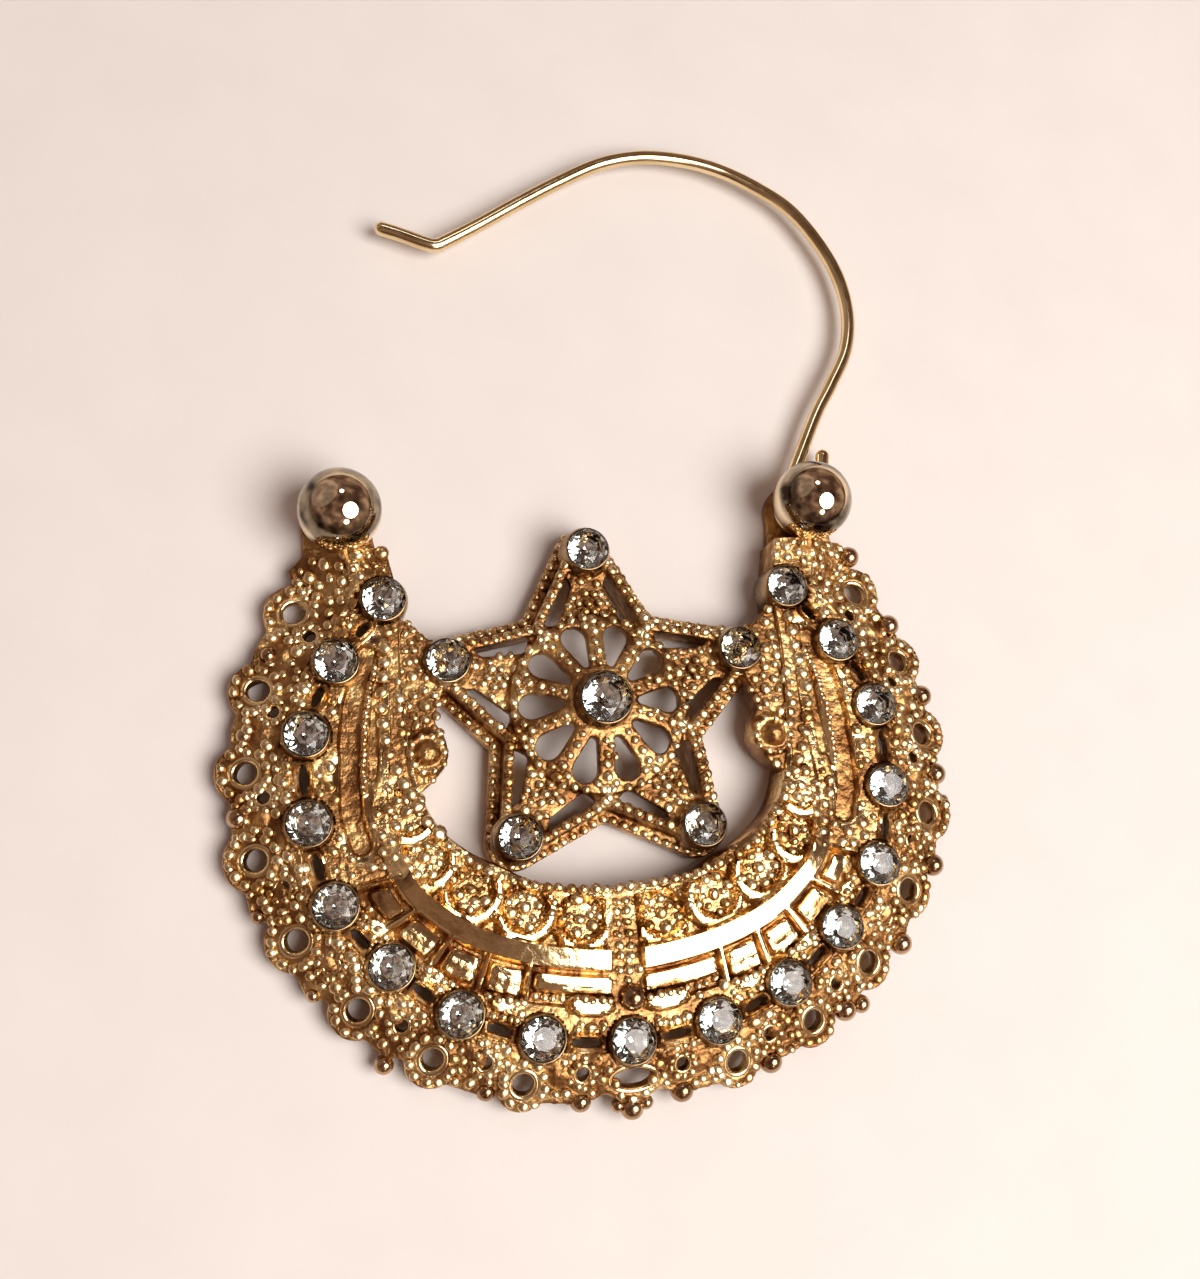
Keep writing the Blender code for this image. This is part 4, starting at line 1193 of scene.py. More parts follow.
def flower_body():
    """Domed disc with its petals, as a bmesh of closed skin."""
    holes = [petal(360.0 * n / PETAL_COUNT) for n in range(PETAL_COUNT)]
    disc = plate([circle((0.0, 0.0), FLOWER["radius"], 60)] + holes, -FLOWER["thickness"], 0.0)
    mesh = fused(disc, FLOWER_VOXEL, 0)
    points = coordinates_of(mesh)
    points[:, 2] += flower_top(points[:, 0], points[:, 1])
    mesh.vertices.foreach_set("co", points.ravel())
    bm = bmesh.new()
    bm.from_mesh(mesh)
    return bm


def star_mesh():
    parts = [flower_body()]
    for row in RIM_STEPS:
        parts.append(plate([star_outline(row["inset"]), star_outline(row["inset"] + row["width"])],
                           row["low"], row["high"]))
    gaps = [gap for facing in ARMS for gap in arm_gaps(facing)]
    parts.append(plate([star_outline(WEB["inset"])] + gaps + [circle((0.0, 0.0), WEB["opening"], 60)],
                       WEB["low"], WEB["high"]))
    for stone in STAR_STONES:
        parts.append(round_post(stone, STAR_POST["radius"], STAR_POST["low"], STAR_POST["high"]))
    return fused(join(parts), STAR_VOXEL, 2)


pits = [round_post(stone, STAR_PIT["radius"], PIT_FLOOR, STAR_PIT["high"]) for stone in STAR_STONES]
pits.append(round_post((0.0, 0.0), CENTRE_PIT["radius"], CENTRE_PIT["low"], CENTRE_PIT["high"]))
finished("star_frame", cut_from(star_mesh(), pits), cast_gold)

# %% [markdown]
# Bridges and lobes
#
# Each side point of the star is soldered to the crescent through a small plate, and a round lobe
# with a ball on it stands at the plate's lower end. They are plates again, joined in one skin.

# %% Bridges
BRIDGE = ((8.0, 3.7), (8.9, 3.9), (9.7, 4.7), (10.9, 5.4), (11.2, 0.0), (11.1, -4.0), (10.1, -4.4),
          (9.2, -3.7), (8.5, -3.0), (8.2, -2.3), (8.3, -1.4), (8.8, -0.5), (8.6, 0.4), (8.2, 1.2))
BRIDGE_HEIGHTS = (0.9, 2.4)
LOBE = {"place": (9.35, -2.2), "radius": 1.1, "low": 1.0, "high": 2.6, "rim": 0.18, "ball": 1.24}


def bridges_mesh():
    parts = []
    for outline in (BRIDGE, mirrored(BRIDGE)):
        parts.append(plate([outline], *BRIDGE_HEIGHTS))
    for centre in both_sides([LOBE["place"]]):
        parts.append(round_post(centre, LOBE["radius"], LOBE["low"], LOBE["high"]))
        parts.append(ring(centre, LOBE["radius"] - LOBE["rim"], LOBE["rim"], LOBE["high"]))
        parts.append(dome(centre, (LOBE["ball"],) * 3, LOBE["high"] + 0.1, 0.0, 20))
    return fused(join(parts), 0.12, 2)


finished("bridges", bridges_mesh(), cast_gold, sharp=None)

# %% [markdown]
# Cups by Geometry Nodes
#
# All the stone cups are the same turned shape, so one cup is turned from a profile, and a node
# tree puts it on points, scaled by each point's own size. Realize Instances turns the copies into
# real faces, because a model file can't carry instances.

# %% Tree helpers


def new_tree(name, sockets):
    """Geometry tree with a geometry input and output, and the named inputs."""
    tree = bpy.data.node_groups.new(name, "GeometryNodeTree")
    tree.interface.new_socket("Geometry", in_out="INPUT", socket_type="NodeSocketGeometry")
    for label, kind in sockets:
        tree.interface.new_socket(label, in_out="INPUT", socket_type="NodeSocket" + kind)
    tree.interface.new_socket("Geometry", in_out="OUTPUT", socket_type="NodeSocketGeometry")
    return tree, tree.nodes.new("NodeGroupInput"), tree.nodes.new("NodeGroupOutput")


def stored(tree, name):
    """Output with the numbers that a mesh carries under a name."""
    made = add(tree, "GeometryNodeInputNamedAttribute", {"Name": name}, data_type="FLOAT")
    return made.outputs["Attribute"]


def coated(tree, start, end, geometry):
    """The tree with its last steps: real faces instead of copies, and the material set on them."""
    real = add(tree, "GeometryNodeRealizeInstances", {"Geometry": geometry})
    coat = add(tree, "GeometryNodeSetMaterial",
               {"Geometry": real.outputs["Geometry"], "Material": start.outputs["Material"]})
    tree.links.new(coat.outputs["Geometry"], end.inputs["Geometry"])
    return tree


def grown(mesh, tree, values):
    """Plain mesh that a tree makes from a mesh, its inputs set by the sockets' identifiers."""
    item = linked(mesh)
    modifier = item.modifiers.new("tree", "NODES")
    modifier.node_group = tree
    identifiers = {s.name: s.identifier for s in tree.interface.items_tree if s.in_out == "INPUT"}
    for label, value in values.items():
        modifier[identifiers[label]] = value
    return evaluated(item)


def points_mesh(places, sizes):
    """Loose points in mm with a size for each."""
    mesh = bpy.data.meshes.new("points")
    mesh.from_pydata([tuple(p) for p in places], [], [])
    write_values(mesh, "size", sizes)
    return mesh


# %% One cup, and the tree that repeats it
CUP_PROFILE = ((0.0, 0.0), (1.32, 0.0), (1.36, 0.12), (1.34, 1.5), (1.28, 1.8), (1.21, 1.98), (1.17, 2.05),
               (1.14, 2.06), (1.12, 2.02), (1.11, 1.72), (0.3, 1.27), (0.0, 1.27))
CUP_SIDES = 40
CUP_FOOT = 0.9
CENTRE_CUP = {"foot": 1.65, "size": 1.18}


def turned_mesh(profile, sides):
    """Closed solid turned from a profile of radius and height that starts and ends on the axis."""
    bm = bmesh.new()
    verts = [bm.verts.new((r, 0.0, z)) for r, z in profile]
    edges = [bm.edges.new(pair) for pair in zip(verts, verts[1:])]
    bmesh.ops.spin(bm, geom=verts + edges, cent=(0.0, 0.0, 0.0), axis=(0.0, 0.0, 1.0),
                   angle=2.0 * math.pi, steps=sides)
    bmesh.ops.remove_doubles(bm, verts=bm.verts, dist=0.0005)
    bmesh.ops.recalc_face_normals(bm, faces=bm.faces)
    return mesh_from(bm)


def repeat_tree():
    """One shape on every point, scaled by the point's size."""
    tree, start, end = new_tree("repeat_on_points", (("Shape", "Object"), ("Material", "Material")))
    shape = add(tree, "GeometryNodeObjectInfo", {"Object": start.outputs["Shape"]})
    copies = add(tree, "GeometryNodeInstanceOnPoints",
                 {"Points": start.outputs["Geometry"], "Instance": shape.outputs["Geometry"],
                  "Scale": stored(tree, "size")})
    return coated(tree, start, end, copies.outputs["Instances"])


cup = linked(turned_mesh(CUP_PROFILE, CUP_SIDES), "cup")
cup_places = [(*p, CUP_FOOT) for p in STONES + STAR_STONES] + [(0.0, 0.0, CENTRE_CUP["foot"])]
cup_sizes = [1.0] * (len(cup_places) - 1) + [CENTRE_CUP["size"]]
cups = grown(points_mesh(cup_places, cup_sizes), repeat_tree(), {"Shape": cup, "Material": cup_gold_painted_shade})
bpy.data.objects.remove(cup, do_unlink=True)
finished("stone_cups", cups)

# %% [markdown]
# Beads by Geometry Nodes
#
# The glitter of this earring comes from its tiny beads. Rows of them follow paths, so one tree
# turns each path into evenly spaced points and sets a small flattened ball on each. Loose beads,
# such as rosettes and strewn granules, are points from the start. Both take their size from an
# attribute, and seeded random values for shape, turn and drift make them as uneven as hand work.
# Each bead has only 80 faces, because there are so many.

# %% The two bead trees
BEAD_DETAIL = 2
BEAD_SHAPE = ((0.85, 0.9, 0.38), (1.2, 1.25, 0.58))
BEAD_TURN = ((-0.2, -0.2, 0.0), (0.2, 0.2, 6.283))
BEAD_DRIFT = ((-1.0, -1.0, -0.6), (1.0, 1.0, 0.6))
TOUCHING_PITCH = 1.98
DRIFT_LENGTH = 0.06
BEAD_SOCKETS = (("Material", "Material"), ("Seed", "Int"), ("Drift", "Float"))


def random_vector(tree, start, limits):
    """Output with a random vector for each point, between two limits, from the tree's seed."""
    return add(tree, "FunctionNodeRandomValue", {"Seed": start.outputs["Seed"], 0: limits[0], 1: limits[1]},
               data_type="FLOAT_VECTOR").outputs[0]


def scaled(tree, vector, factor):
    return add(tree, "ShaderNodeVectorMath", {0: vector, "Scale": factor}, operation="SCALE").outputs[0]


def bead_steps(tree, start, end, points):
    """Shared end of both trees: an uneven flattened ball on each point, drifted a little."""
    ball = add(tree, "GeometryNodeMeshIcoSphere", {"Radius": 1.0, "Subdivisions": BEAD_DETAIL})
    drift = scaled(tree, random_vector(tree, start, BEAD_DRIFT), start.outputs["Drift"])
    moved = add(tree, "GeometryNodeSetPosition", {"Geometry": points, "Offset": drift})
    size = scaled(tree, random_vector(tree, start, BEAD_SHAPE), stored(tree, "size"))
    copies = add(tree, "GeometryNodeInstanceOnPoints",
                 {"Points": moved.outputs["Geometry"], "Instance": ball.outputs["Mesh"],
                  "Rotation": random_vector(tree, start, BEAD_TURN), "Scale": size})
    return coated(tree, start, end, copies.outputs["Instances"])


def loose_bead_tree():
    """A bead on every point."""
    tree, start, end = new_tree("loose_beads", BEAD_SOCKETS)
    return bead_steps(tree, start, end, start.outputs["Geometry"])


def strung_bead_tree():
    """Beads along paths: each path gets as many as fit at its own pitch."""
    tree, start, end = new_tree("strung_beads", BEAD_SOCKETS)
    line = add(tree, "GeometryNodeMeshToCurve", {"Mesh": start.outputs["Geometry"]})
    length = add(tree, "GeometryNodeSplineLength")
    count = add(tree, "ShaderNodeMath", {0: length.outputs["Length"], 1: stored(tree, "pitch")},
                operation="DIVIDE")
    whole = add(tree, "ShaderNodeMath", {0: count.outputs[0], 1: 1.0}, operation="ADD")
    spaced = add(tree, "GeometryNodeResampleCurve",
                 {"Curve": line.outputs["Curve"], "Count": whole.outputs[0]}, mode="COUNT")
    return bead_steps(tree, start, end, spaced.outputs["Curve"])


LOOSE, STRUNG = loose_bead_tree(), strung_bead_tree()
print("bead trees:", LOOSE.name, len(LOOSE.nodes), "nodes,", STRUNG.name, len(STRUNG.nodes), "nodes")


def paths_mesh(paths):
    """Chains of edges in mm; a path has points, a size, a pitch if not touching, and closed or not."""
    points, edges, sizes, pitches = [], [], [], []
    for path in paths:
        first = len(points)
        points += [tuple(p) for p in path["points"]]
        edges += [(n, n + 1) for n in range(first, len(points) - 1)]
        if path.get("closed"):
            edges.append((len(points) - 1, first))
        sizes += list(np.broadcast_to(path["size"], len(path["points"])))
        touching = TOUCHING_PITCH * float(np.mean(path["size"]))
        pitches += [path.get("pitch", touching)] * len(path["points"])
    mesh = bpy.data.meshes.new("paths")
    mesh.from_pydata(points, edges, [])
    write_values(mesh, "size", sizes)
    write_values(mesh, "pitch", pitches)
    return mesh


def beads(name, paths, loose, seed):
    """One piece of beads: the strung ones and the loose ones, with their own seed."""
    bm = bmesh.new()
    settings = {"Material": bead_gold, "Seed": seed, "Drift": DRIFT_LENGTH}
    if paths:
        bm.from_mesh(grown(paths_mesh(paths), STRUNG, settings))
    if loose:
        places, sizes = zip(*[((x, y, z), size) for x, y, z, size in loose])
        bm.from_mesh(grown(points_mesh(places, sizes), LOOSE, settings))
    return finished(name, mesh_from(bm), bead_gold, sharp=None)


# %% [markdown]
# Rows on the crescent
#
# A row of well-spaced beads follows the crescent's inner side and runs on up the arms, larger there,
# where a rope of tiny ones lies beside it. Short rows lie outside the rail, one line runs under the
# cells and another one passes the slots. Each disc inside the rail has a bead in its middle and is
# strewn with others, of all sizes.

# %% Beads of the crescent
INNER_ROW = ((0.0, -9.77), (2.54, -9.55), (4.57, -9.16), (6.19, -8.62), (7.5, -7.92), (8.22, -7.3),
             (8.92, -6.49), (9.53, -5.68), (10.14, -4.72), (10.74, -3.45), (11.14, -2.43), (11.39, -1.42),
             (11.5, -0.3), (11.5, 0.6), (11.34, 1.92), (11.18, 3.24), (10.94, 4.65), (10.88, 5.45))
INNER_ROW_GROWS_AT = -6.4
DRAWN_ROWS = {
    "lower": {"above": 0.08, "size": 0.25, "pitch": 0.6},
    "upper": {"above": 0.12, "size": 0.35, "pitch": 0.78},
    "rope": {"above": 0.04, "size": 0.15, "pitch": 0.27},
    "axis": {"above": 0.12, "size": 0.21, "pitch": 0.56},
}
MAPPED_ROWS = (
    {"from": 0.24, "to": 1.12, "from_rail": 1.98, "above": 0.1, "size": 0.21, "pitch": 0.47, "room": 0.0},
    {"from": 1.35, "to": 4.1, "from_rail": 2.5, "above": 0.08, "size": 0.21, "pitch": 0.45, "room": 1.5},
    {"from": 0.1, "to": 4.4, "across": 1.84, "above": 0.1, "size": 0.21, "pitch": 0.46, "room": 1.55},
)
AXIS_PAIR = {"x": 0.27, "shift": 0.06, "ys": (-10.4, -13.2)}
DISC_BEADS = {"middle": 0.32, "room": 0.3, "sizes": (0.18, 0.34), "tries": 300, "seed": 30}


def drawn_row(kind, line):
    """Row of beads of a kind along a line of points on the crescent."""
    row = DRAWN_ROWS[kind]
    return {"points": on_band(line, row["above"]), "size": row["size"], "pitch": row["pitch"]}


def mapped_row(side, row):
    """Row between two stations, at a place across the crescent or at a distance from the rail."""
    count = max(2, int(14 * abs(row["to"] - row["from"])))
    stations = np.linspace(side * row["from"], side * row["to"], count)
    if "from_rail" in row:
        gaps = crescent_map(stations, np.array([1.0, 2.0]))
        width = np.hypot(*(gaps[:, 1] - gaps[:, 0]).T)
        line = gaps[:, 0] + (gaps[:, 1] - gaps[:, 0]) * (row["from_rail"] / width)[:, None]
    else:
        line = crescent_map(stations, row["across"])[:, 0]
    return {"points": on_band(line, row["above"]), "size": row["size"], "pitch": row["pitch"]}


def clear_of_stones(path, room):
    """Runs of a path that keep clear of the stones."""
    runs, run = [], []
    for point in path["points"]:
        if min(math.dist(point[:2], s) for s in STONES) > room:
            run.append(point)
        elif run:
            runs.append(run)
            run = []
    runs.append(run)
    return [{**path, "points": r} for r in runs if len(r) > 2]


def rosette(centre, height, shape):
    """A bead in the middle and a ring of beads round it, with their heights."""
    petals = [polar(shape["reach"], 360.0 * n / shape["petals"], centre) for n in range(shape["petals"])]
    return [(*centre, height + 0.06, shape["core"])] + [(*place, height, shape["size"]) for place in petals]


# %% Strewn beads on the discs


def strewn(sample, allowed, taken, sizes, tries, seed):
    """Beads (x, y, size) over an area, clear of the taken circles and of each other."""
    rng = np.random.default_rng(seed)
    kept = np.zeros((len(taken) + tries, 3))
    kept[:len(taken)] = taken
    count = len(taken)
    for _ in range(tries):
        x, y = sample(rng)
        size = rng.uniform(*sizes)
        near = kept[:count]
        clear = (np.hypot(near[:, 0] - x, near[:, 1] - y) - near[:, 2]).min() >= 0.9 * size
        if clear and allowed(x, y, size):
            kept[count] = (x, y, size)
            count += 1
    return [tuple(row) for row in kept[len(taken):count]]


def in_circle(radius, centre=(0.0, 0.0)):
    """Sampler of random places in a circle."""
    def sample(rng):
        return polar(radius * math.sqrt(rng.uniform(0.0, 1.0)), rng.uniform(0.0, 360.0), centre)
    return sample


def anywhere(x, y, size):
    return True


def disc_beads(centre, seed):
    """A bead in the middle of a disc and strewn ones round it, with their heights."""
    height = on_band([centre], 0.08)[0][2]
    around = strewn(in_circle(SCALE_ZONE["disc_radius"], centre), anywhere, [(*centre, DISC_BEADS["room"])],
                    DISC_BEADS["sizes"], DISC_BEADS["tries"], seed)
    return [(*centre, height + 0.1, DISC_BEADS["middle"])] + [(x, y, height, size) for x, y, size in around]


def crescent_beads():
    paths = []
    for side in (-1.0, 1.0):
        inner = [(side * x, y) for x, y in open_curve(INNER_ROW, 110)]
        paths.append(drawn_row("lower", [p for p in inner if p[1] < INNER_ROW_GROWS_AT]))
        paths.append(drawn_row("upper", [p for p in inner if p[1] >= INNER_ROW_GROWS_AT]))
        paths.append(drawn_row("rope", [(side * x, y) for x, y in open_curve(ARM_ROPE, 40)]))
        for row in MAPPED_ROWS:
            paths += clear_of_stones(mapped_row(side, row), row["room"])
        beside_axis = side * AXIS_PAIR["x"] + AXIS_PAIR["shift"]
        paths.append(drawn_row("axis", [(beside_axis, y) for y in AXIS_PAIR["ys"]]))
    loose = []
    for n, centre in enumerate(both_sides(SCALES)):
        loose += disc_beads(centre, DISC_BEADS["seed"] + n)
    return paths, loose


beads("crescent_beads", *crescent_beads(), seed=3)

# %% [markdown]
# Strewn beads
#
# Between the rows the real casting is covered with granules, packed as they fell. Here each bead is
# drawn at a random place and size, and it stays only if it touches none of the earlier ones. The
# seed is fixed, so the same granules come back at every run.

# %% Strewing
STONE_ROOM = 1.42
ARM_LINES = ((ARM_CHANNEL, 0.62), (ARM_GROOVE, 0.42), (ARM_ROPE, 0.3), (INNER_ROW, 0.6))
SLOT_ROOM = {"shorter": 0.2, "radius": 0.38}
BAND_FILLS = (
    {"stations": (0.1, 4.3), "across": (1.6, 2.25), "sizes": (0.19, 0.33), "tries": 3000, "seed": 21},
    {"stations": (4.2, 7.2), "across": (0.2, 2.25), "sizes": (0.2, 0.36), "tries": 4000, "seed": 22},
    {"stations": (7.0, 8.95), "across": (0.1, 2.25), "sizes": (0.2, 0.38), "tries": 3500, "seed": 23},
    {"stations": (0.3, 4.3), "across": (0.12, 0.45), "sizes": (0.17, 0.26), "tries": 2000, "seed": 24},
)


def on_the_map(stations, across):
    """Sampler of random places on the crescent's map, on both halves alike."""
    def sample(rng):
        return crescent_point(rng.choice((-1.0, 1.0)) * rng.uniform(*stations), rng.uniform(*across))
    return sample


def strewn_on_map(row, allowed, taken):
    """Beads strewn over the part of the map that a row of a table gives."""
    return strewn(on_the_map(row["stations"], row["across"]), allowed, taken, row["sizes"], row["tries"],
                  row["seed"])


def circles_along(middle, ahead, reach, radius):
    """Three circles that cover a long shape."""
    facing = direction(middle, ahead)
    return [(*polar(shift, facing, middle), radius) for shift in (-reach, 0.0, reach)]


def slot_circles():
    """Circles that cover the slots with their rims."""
    return [row for middle, ahead in slot_places()
            for row in circles_along(middle, ahead, 0.5 * slot_length(middle) - SLOT_ROOM["shorter"],
                                     SLOT_ROOM["radius"])]


def leaf_circles():
    return [row for leaf, middle, ahead in leaf_places()
            for row in circles_along(middle, ahead, 0.5 * (leaf["length"] - leaf["width"]),
                                     0.5 * leaf["width"])]


def point_distance(line, x, y):
    return distance_to(line, np.array([x]), np.array([y]))[0]


def clear_of_arm_lines(x, y, size):
    return all(point_distance(line, x, y) > room + 0.8 * size for line, room in ARM_LINES)


def fill_of_band():
    """Granules between the cells and the stones, on the arms and along the inner edge."""
    taken = [(x, y, STONE_ROOM) for x, y in STONES] + slot_circles() + leaf_circles()
    taken += [(x, y, SCALE_LIP["inner"]) for x, y in both_sides(SCALES)]
    found = []
    for row in BAND_FILLS:
        found += strewn_on_map(row, clear_of_arm_lines, taken)
    points = on_band([(x, y) for x, y, size in found], 0.05)
    return [(*point, size) for point, (x, y, size) in zip(points, found)]


beads("band_granules", [], fill_of_band(), seed=4)

# %% [markdown]
# Rows on the lace
#
# Each eyelet wears an arch of beads on its inner side and a chain along its scallop, each small hole
# has a whole ring, and granules fill what is left.

# %% Beads of the lace
EYELET_ARCH = {"away": 0.52, "angles": (95.0, 266.0), "size": 0.27, "pitch": 0.66, "above": 0.14,
               "widened": 0.6}
EDGE_CHAIN = {"inset": 0.34, "angles": (-80.0, 81.0), "size": 0.27, "pitch": 0.6, "above": 0.12}
SMALL_RING = {"away": 0.28, "size": 0.2, "pitch": 0.48, "above": 0.12}
LACE_FILL = {"stations": (0.0, 9.0), "across": (2.08, 3.05), "sizes": (0.2, 0.36), "tries": 14000, "seed": 25}
LACE_ROOM = {"eyelet": 0.66, "shift": 0.4, "small": 0.38, "dome": 0.42, "notch": 0.5}


def on_lace(points, above):
    """Points on the lace's front, raised by a height square to it."""
    return on_slope(np.array([(x, y, above) for x, y in points]))


def lace_row(line, kind, closed=False):
    """Row of beads of a kind along a line of points on the lace."""
    return {"points": on_lace(line, kind["above"]), "size": kind["size"], "pitch": kind["pitch"],
            "closed": closed}


def lace_rows():
    paths = []
    for x, y, row in eyelet_centres():
        facing = direction(LACE_FAN_CENTRE, (x, y))
        widened = 1.0 + (row["stretch"] - 1.0) * EYELET_ARCH["widened"]
        arch = [polar(row["hole"] + EYELET_ARCH["away"], facing + a, (x, y))
                for a in np.arange(*EYELET_ARCH["angles"], ARC_STEP)]
        paths.append(lace_row([(x + widened * (px - x), py) for px, py in arch], EYELET_ARCH))
        chain = [polar(row["radius"] - EDGE_CHAIN["inset"], facing + a, (x, y))
                 for a in np.arange(*EDGE_CHAIN["angles"], ARC_STEP)]
        paths.append(lace_row(chain, EDGE_CHAIN))
    for centre in small_hole_centres():
        line = circle(centre, SMALL_HOLE["radius"] + SMALL_RING["away"], 16)
        paths.append(lace_row(line, SMALL_RING, closed=True))
    return paths


# %% Granules of the lace


def surface_below(x, y):
    """Height of the lace's front at a place, or None where it has an opening or ends."""
    hit = LACE_TREE.ray_cast((x, y, 10.0), (0.0, 0.0, -1.0))[0]
    return hit.z if hit else None


def well_on_lace(x, y, size):
    """Whether metal lies under a granule and on all sides of it."""
    middle = surface_below(x, y)
    if middle is None:
        return False
    around = [surface_below(*polar(0.9 * size, 60.0 * n, (x, y))) for n in range(6)]
    return all(height is not None and abs(height - middle) < 0.3 for height in around)


def fill_of_lace():
    """Granules on what the rows, the openings and the domes leave of the lace."""
    taken = [(x, y, STONE_ROOM) for x, y in STONES] + slot_circles()
    for x, y, row in eyelet_centres():
        shifts = (-LACE_ROOM["shift"], LACE_ROOM["shift"]) if row["stretch"] > 1.0 else (0.0,)
        taken += [(x + shift, y, row["hole"] + LACE_ROOM["eyelet"]) for shift in shifts]
    taken += [(x, y, SMALL_HOLE["radius"] + LACE_ROOM["small"]) for x, y in small_hole_centres()]
    taken += [(x, y, LACE_ROOM["dome"]) for x, y in both_sides(LACE_DOMES)]
    taken += [(x, y, LACE_ROOM["notch"]) for x, y in both_sides(LACE_NOTCHES)]
    found = strewn_on_map(LACE_FILL, well_on_lace, taken)
    places = on_lace([(x, y) for x, y, size in found], 0.08)
    return [(*place, size) for place, (x, y, size) in zip(places, found)]


beads("lace_beads", lace_rows(), fill_of_lace(), seed=5)

# %% [markdown]
# Big round beads
#
# The beads in the notches are mirror balls of up to more than a millimetre, so they get smooth
# spheres of their own instead of the coarse ones. They are smaller and less even on the left, as in
# the photo. A larger one sits in the middle, above the lowest stone.

# %% Notch beads, the bottom bead and the middle ball
EDGE_BEAD = {"radius": 0.62, "height": 1.2, "inset": 0.2}
EDGE_BEADS = tuple((x, y, EDGE_BEAD["radius"]) for x, y in LACE_NOTCHES) + (
    (-2.7, -20.3, 0.56), (-7.5, -19.3, 0.5), (-15.8, -13.8, 0.36), (-18.3, -9.7, 0.36),
    (-19.1, -4.7, 0.58), (-18.6, -0.5, 0.48), (-17.2, 3.7, 0.46), (-14.9, 7.7, 0.44))
END_BEAD = {"x": 0.0, "y": -20.7, "radius": 0.62, "height": 1.1}
END_BEAD_SIDE = {"x": 0.75, "y": 0.2, "radius": 0.38, "height": 1.2}
LUMPS = {"places": ((-12.35, -17.35), (13.1, -16.75)), "radius": 0.5, "height": 0.95}
MIDDLE_BALL = {"place": (0.2, -15.25), "radius": 0.72, "height": 2.72}


def smooth_ball(centre, radius, height, segments=24):
    bm = bmesh.new()
    bmesh.ops.create_uvsphere(bm, u_segments=segments, v_segments=segments // 2, radius=radius,
                              matrix=Matrix.Translation((*centre, height)))
    return bm


def towards_middle(place, length):
    """The place, moved inwards by a length."""
    return polar(math.dist(place, LACE_FAN_CENTRE) - length, direction(LACE_FAN_CENTRE, place),
                 LACE_FAN_CENTRE)


def mirror_beads():
    parts = [smooth_ball(towards_middle((x, y), EDGE_BEAD["inset"]), radius, EDGE_BEAD["height"])
             for x, y, radius in EDGE_BEADS]
    parts += [smooth_ball(place, LUMPS["radius"], LUMPS["height"]) for place in LUMPS["places"]]
    parts.append(smooth_ball((END_BEAD["x"], END_BEAD["y"]), END_BEAD["radius"], END_BEAD["height"]))
    parts += [smooth_ball((END_BEAD["x"] + side * END_BEAD_SIDE["x"], END_BEAD["y"] + END_BEAD_SIDE["y"]),
                          END_BEAD_SIDE["radius"], END_BEAD_SIDE["height"], 16) for side in (-1, 1)]
    parts.append(smooth_ball(MIDDLE_BALL["place"], MIDDLE_BALL["radius"], MIDDLE_BALL["height"], 32))
    return mesh_from(join(parts))


finished("mirror_beads", mirror_beads(), knob_gold, sharp=None)

# %% [markdown]
# Beads on the star
#
# Each step of the rim carries a row, the spokes between the petals are rows that grow outwards,
# and an arch of beads closes each petal. Rosettes sit on the arms and trefoils in the corners, and
# granules fill the web between them.

# %% Beads of the star
STAR_ROWS = ({"inset": 0.25, "height": 1.25, "size": 0.24}, {"inset": 0.87, "height": 2.46, "size": 0.25})
STAR_PITCH = 0.62
SPOKE = {"first": 2.1, "step": 0.62, "count": 5, "size": 0.18, "growth": 0.032}
ARCH = {"away": 0.32, "angles": (-60.0, -20.0, 20.0, 60.0), "size": 0.24}
ARM_ROSETTE = {"distance": 5.6, "core": 0.28, "petals": 6, "reach": 0.54, "size": 0.22}
TREFOIL = {"distance": 4.75, "reach": 0.27, "size": 0.24, "height": 2.6}
STAR_FILL = {"radius": 7.0, "sizes": (0.17, 0.29), "tries": 4200, "seed": 26, "inside": 1.95}


def star_rows_and_ornaments():
    paths = [{"points": [(x, y, row["height"]) for x, y in star_outline(row["inset"])], "size": row["size"],
              "pitch": STAR_PITCH, "closed": True} for row in STAR_ROWS]
    loose = []
    for n in range(PETAL_COUNT):
        for m in range(SPOKE["count"]):
            x, y = polar(SPOKE["first"] + SPOKE["step"] * m, 18.0 + 36.0 * n)
            loose.append((x, y, flower_top(x, y) + 0.1, SPOKE["size"] + SPOKE["growth"] * m))
        middle = polar(PETAL["end"] - 0.5 * PETAL["width"], 36.0 * n)
        for a in ARCH["angles"]:
            x, y = polar(0.5 * PETAL["width"] + ARCH["away"], 36.0 * n + a, middle)
            loose.append((x, y, flower_top(x, y) + 0.08, ARCH["size"]))
    for facing in ARMS:
        loose += rosette(polar(ARM_ROSETTE["distance"], facing), WEB["high"] + 0.2, ARM_ROSETTE)
        corner = polar(TREFOIL["distance"], facing + 36.0)
        loose += [(*polar(TREFOIL["reach"], facing + 36.0 + a, corner), TREFOIL["height"], TREFOIL["size"])
                  for a in (0.0, 120.0, 240.0)]
    return paths, loose


# %% Granules of the star


def star_web_top(x, y):
    """Height of the star's face: the flower inside its edge and the flat web outside it."""
    return flower_top(x, y) if math.hypot(x, y) < FLOWER["radius"] else WEB["high"]


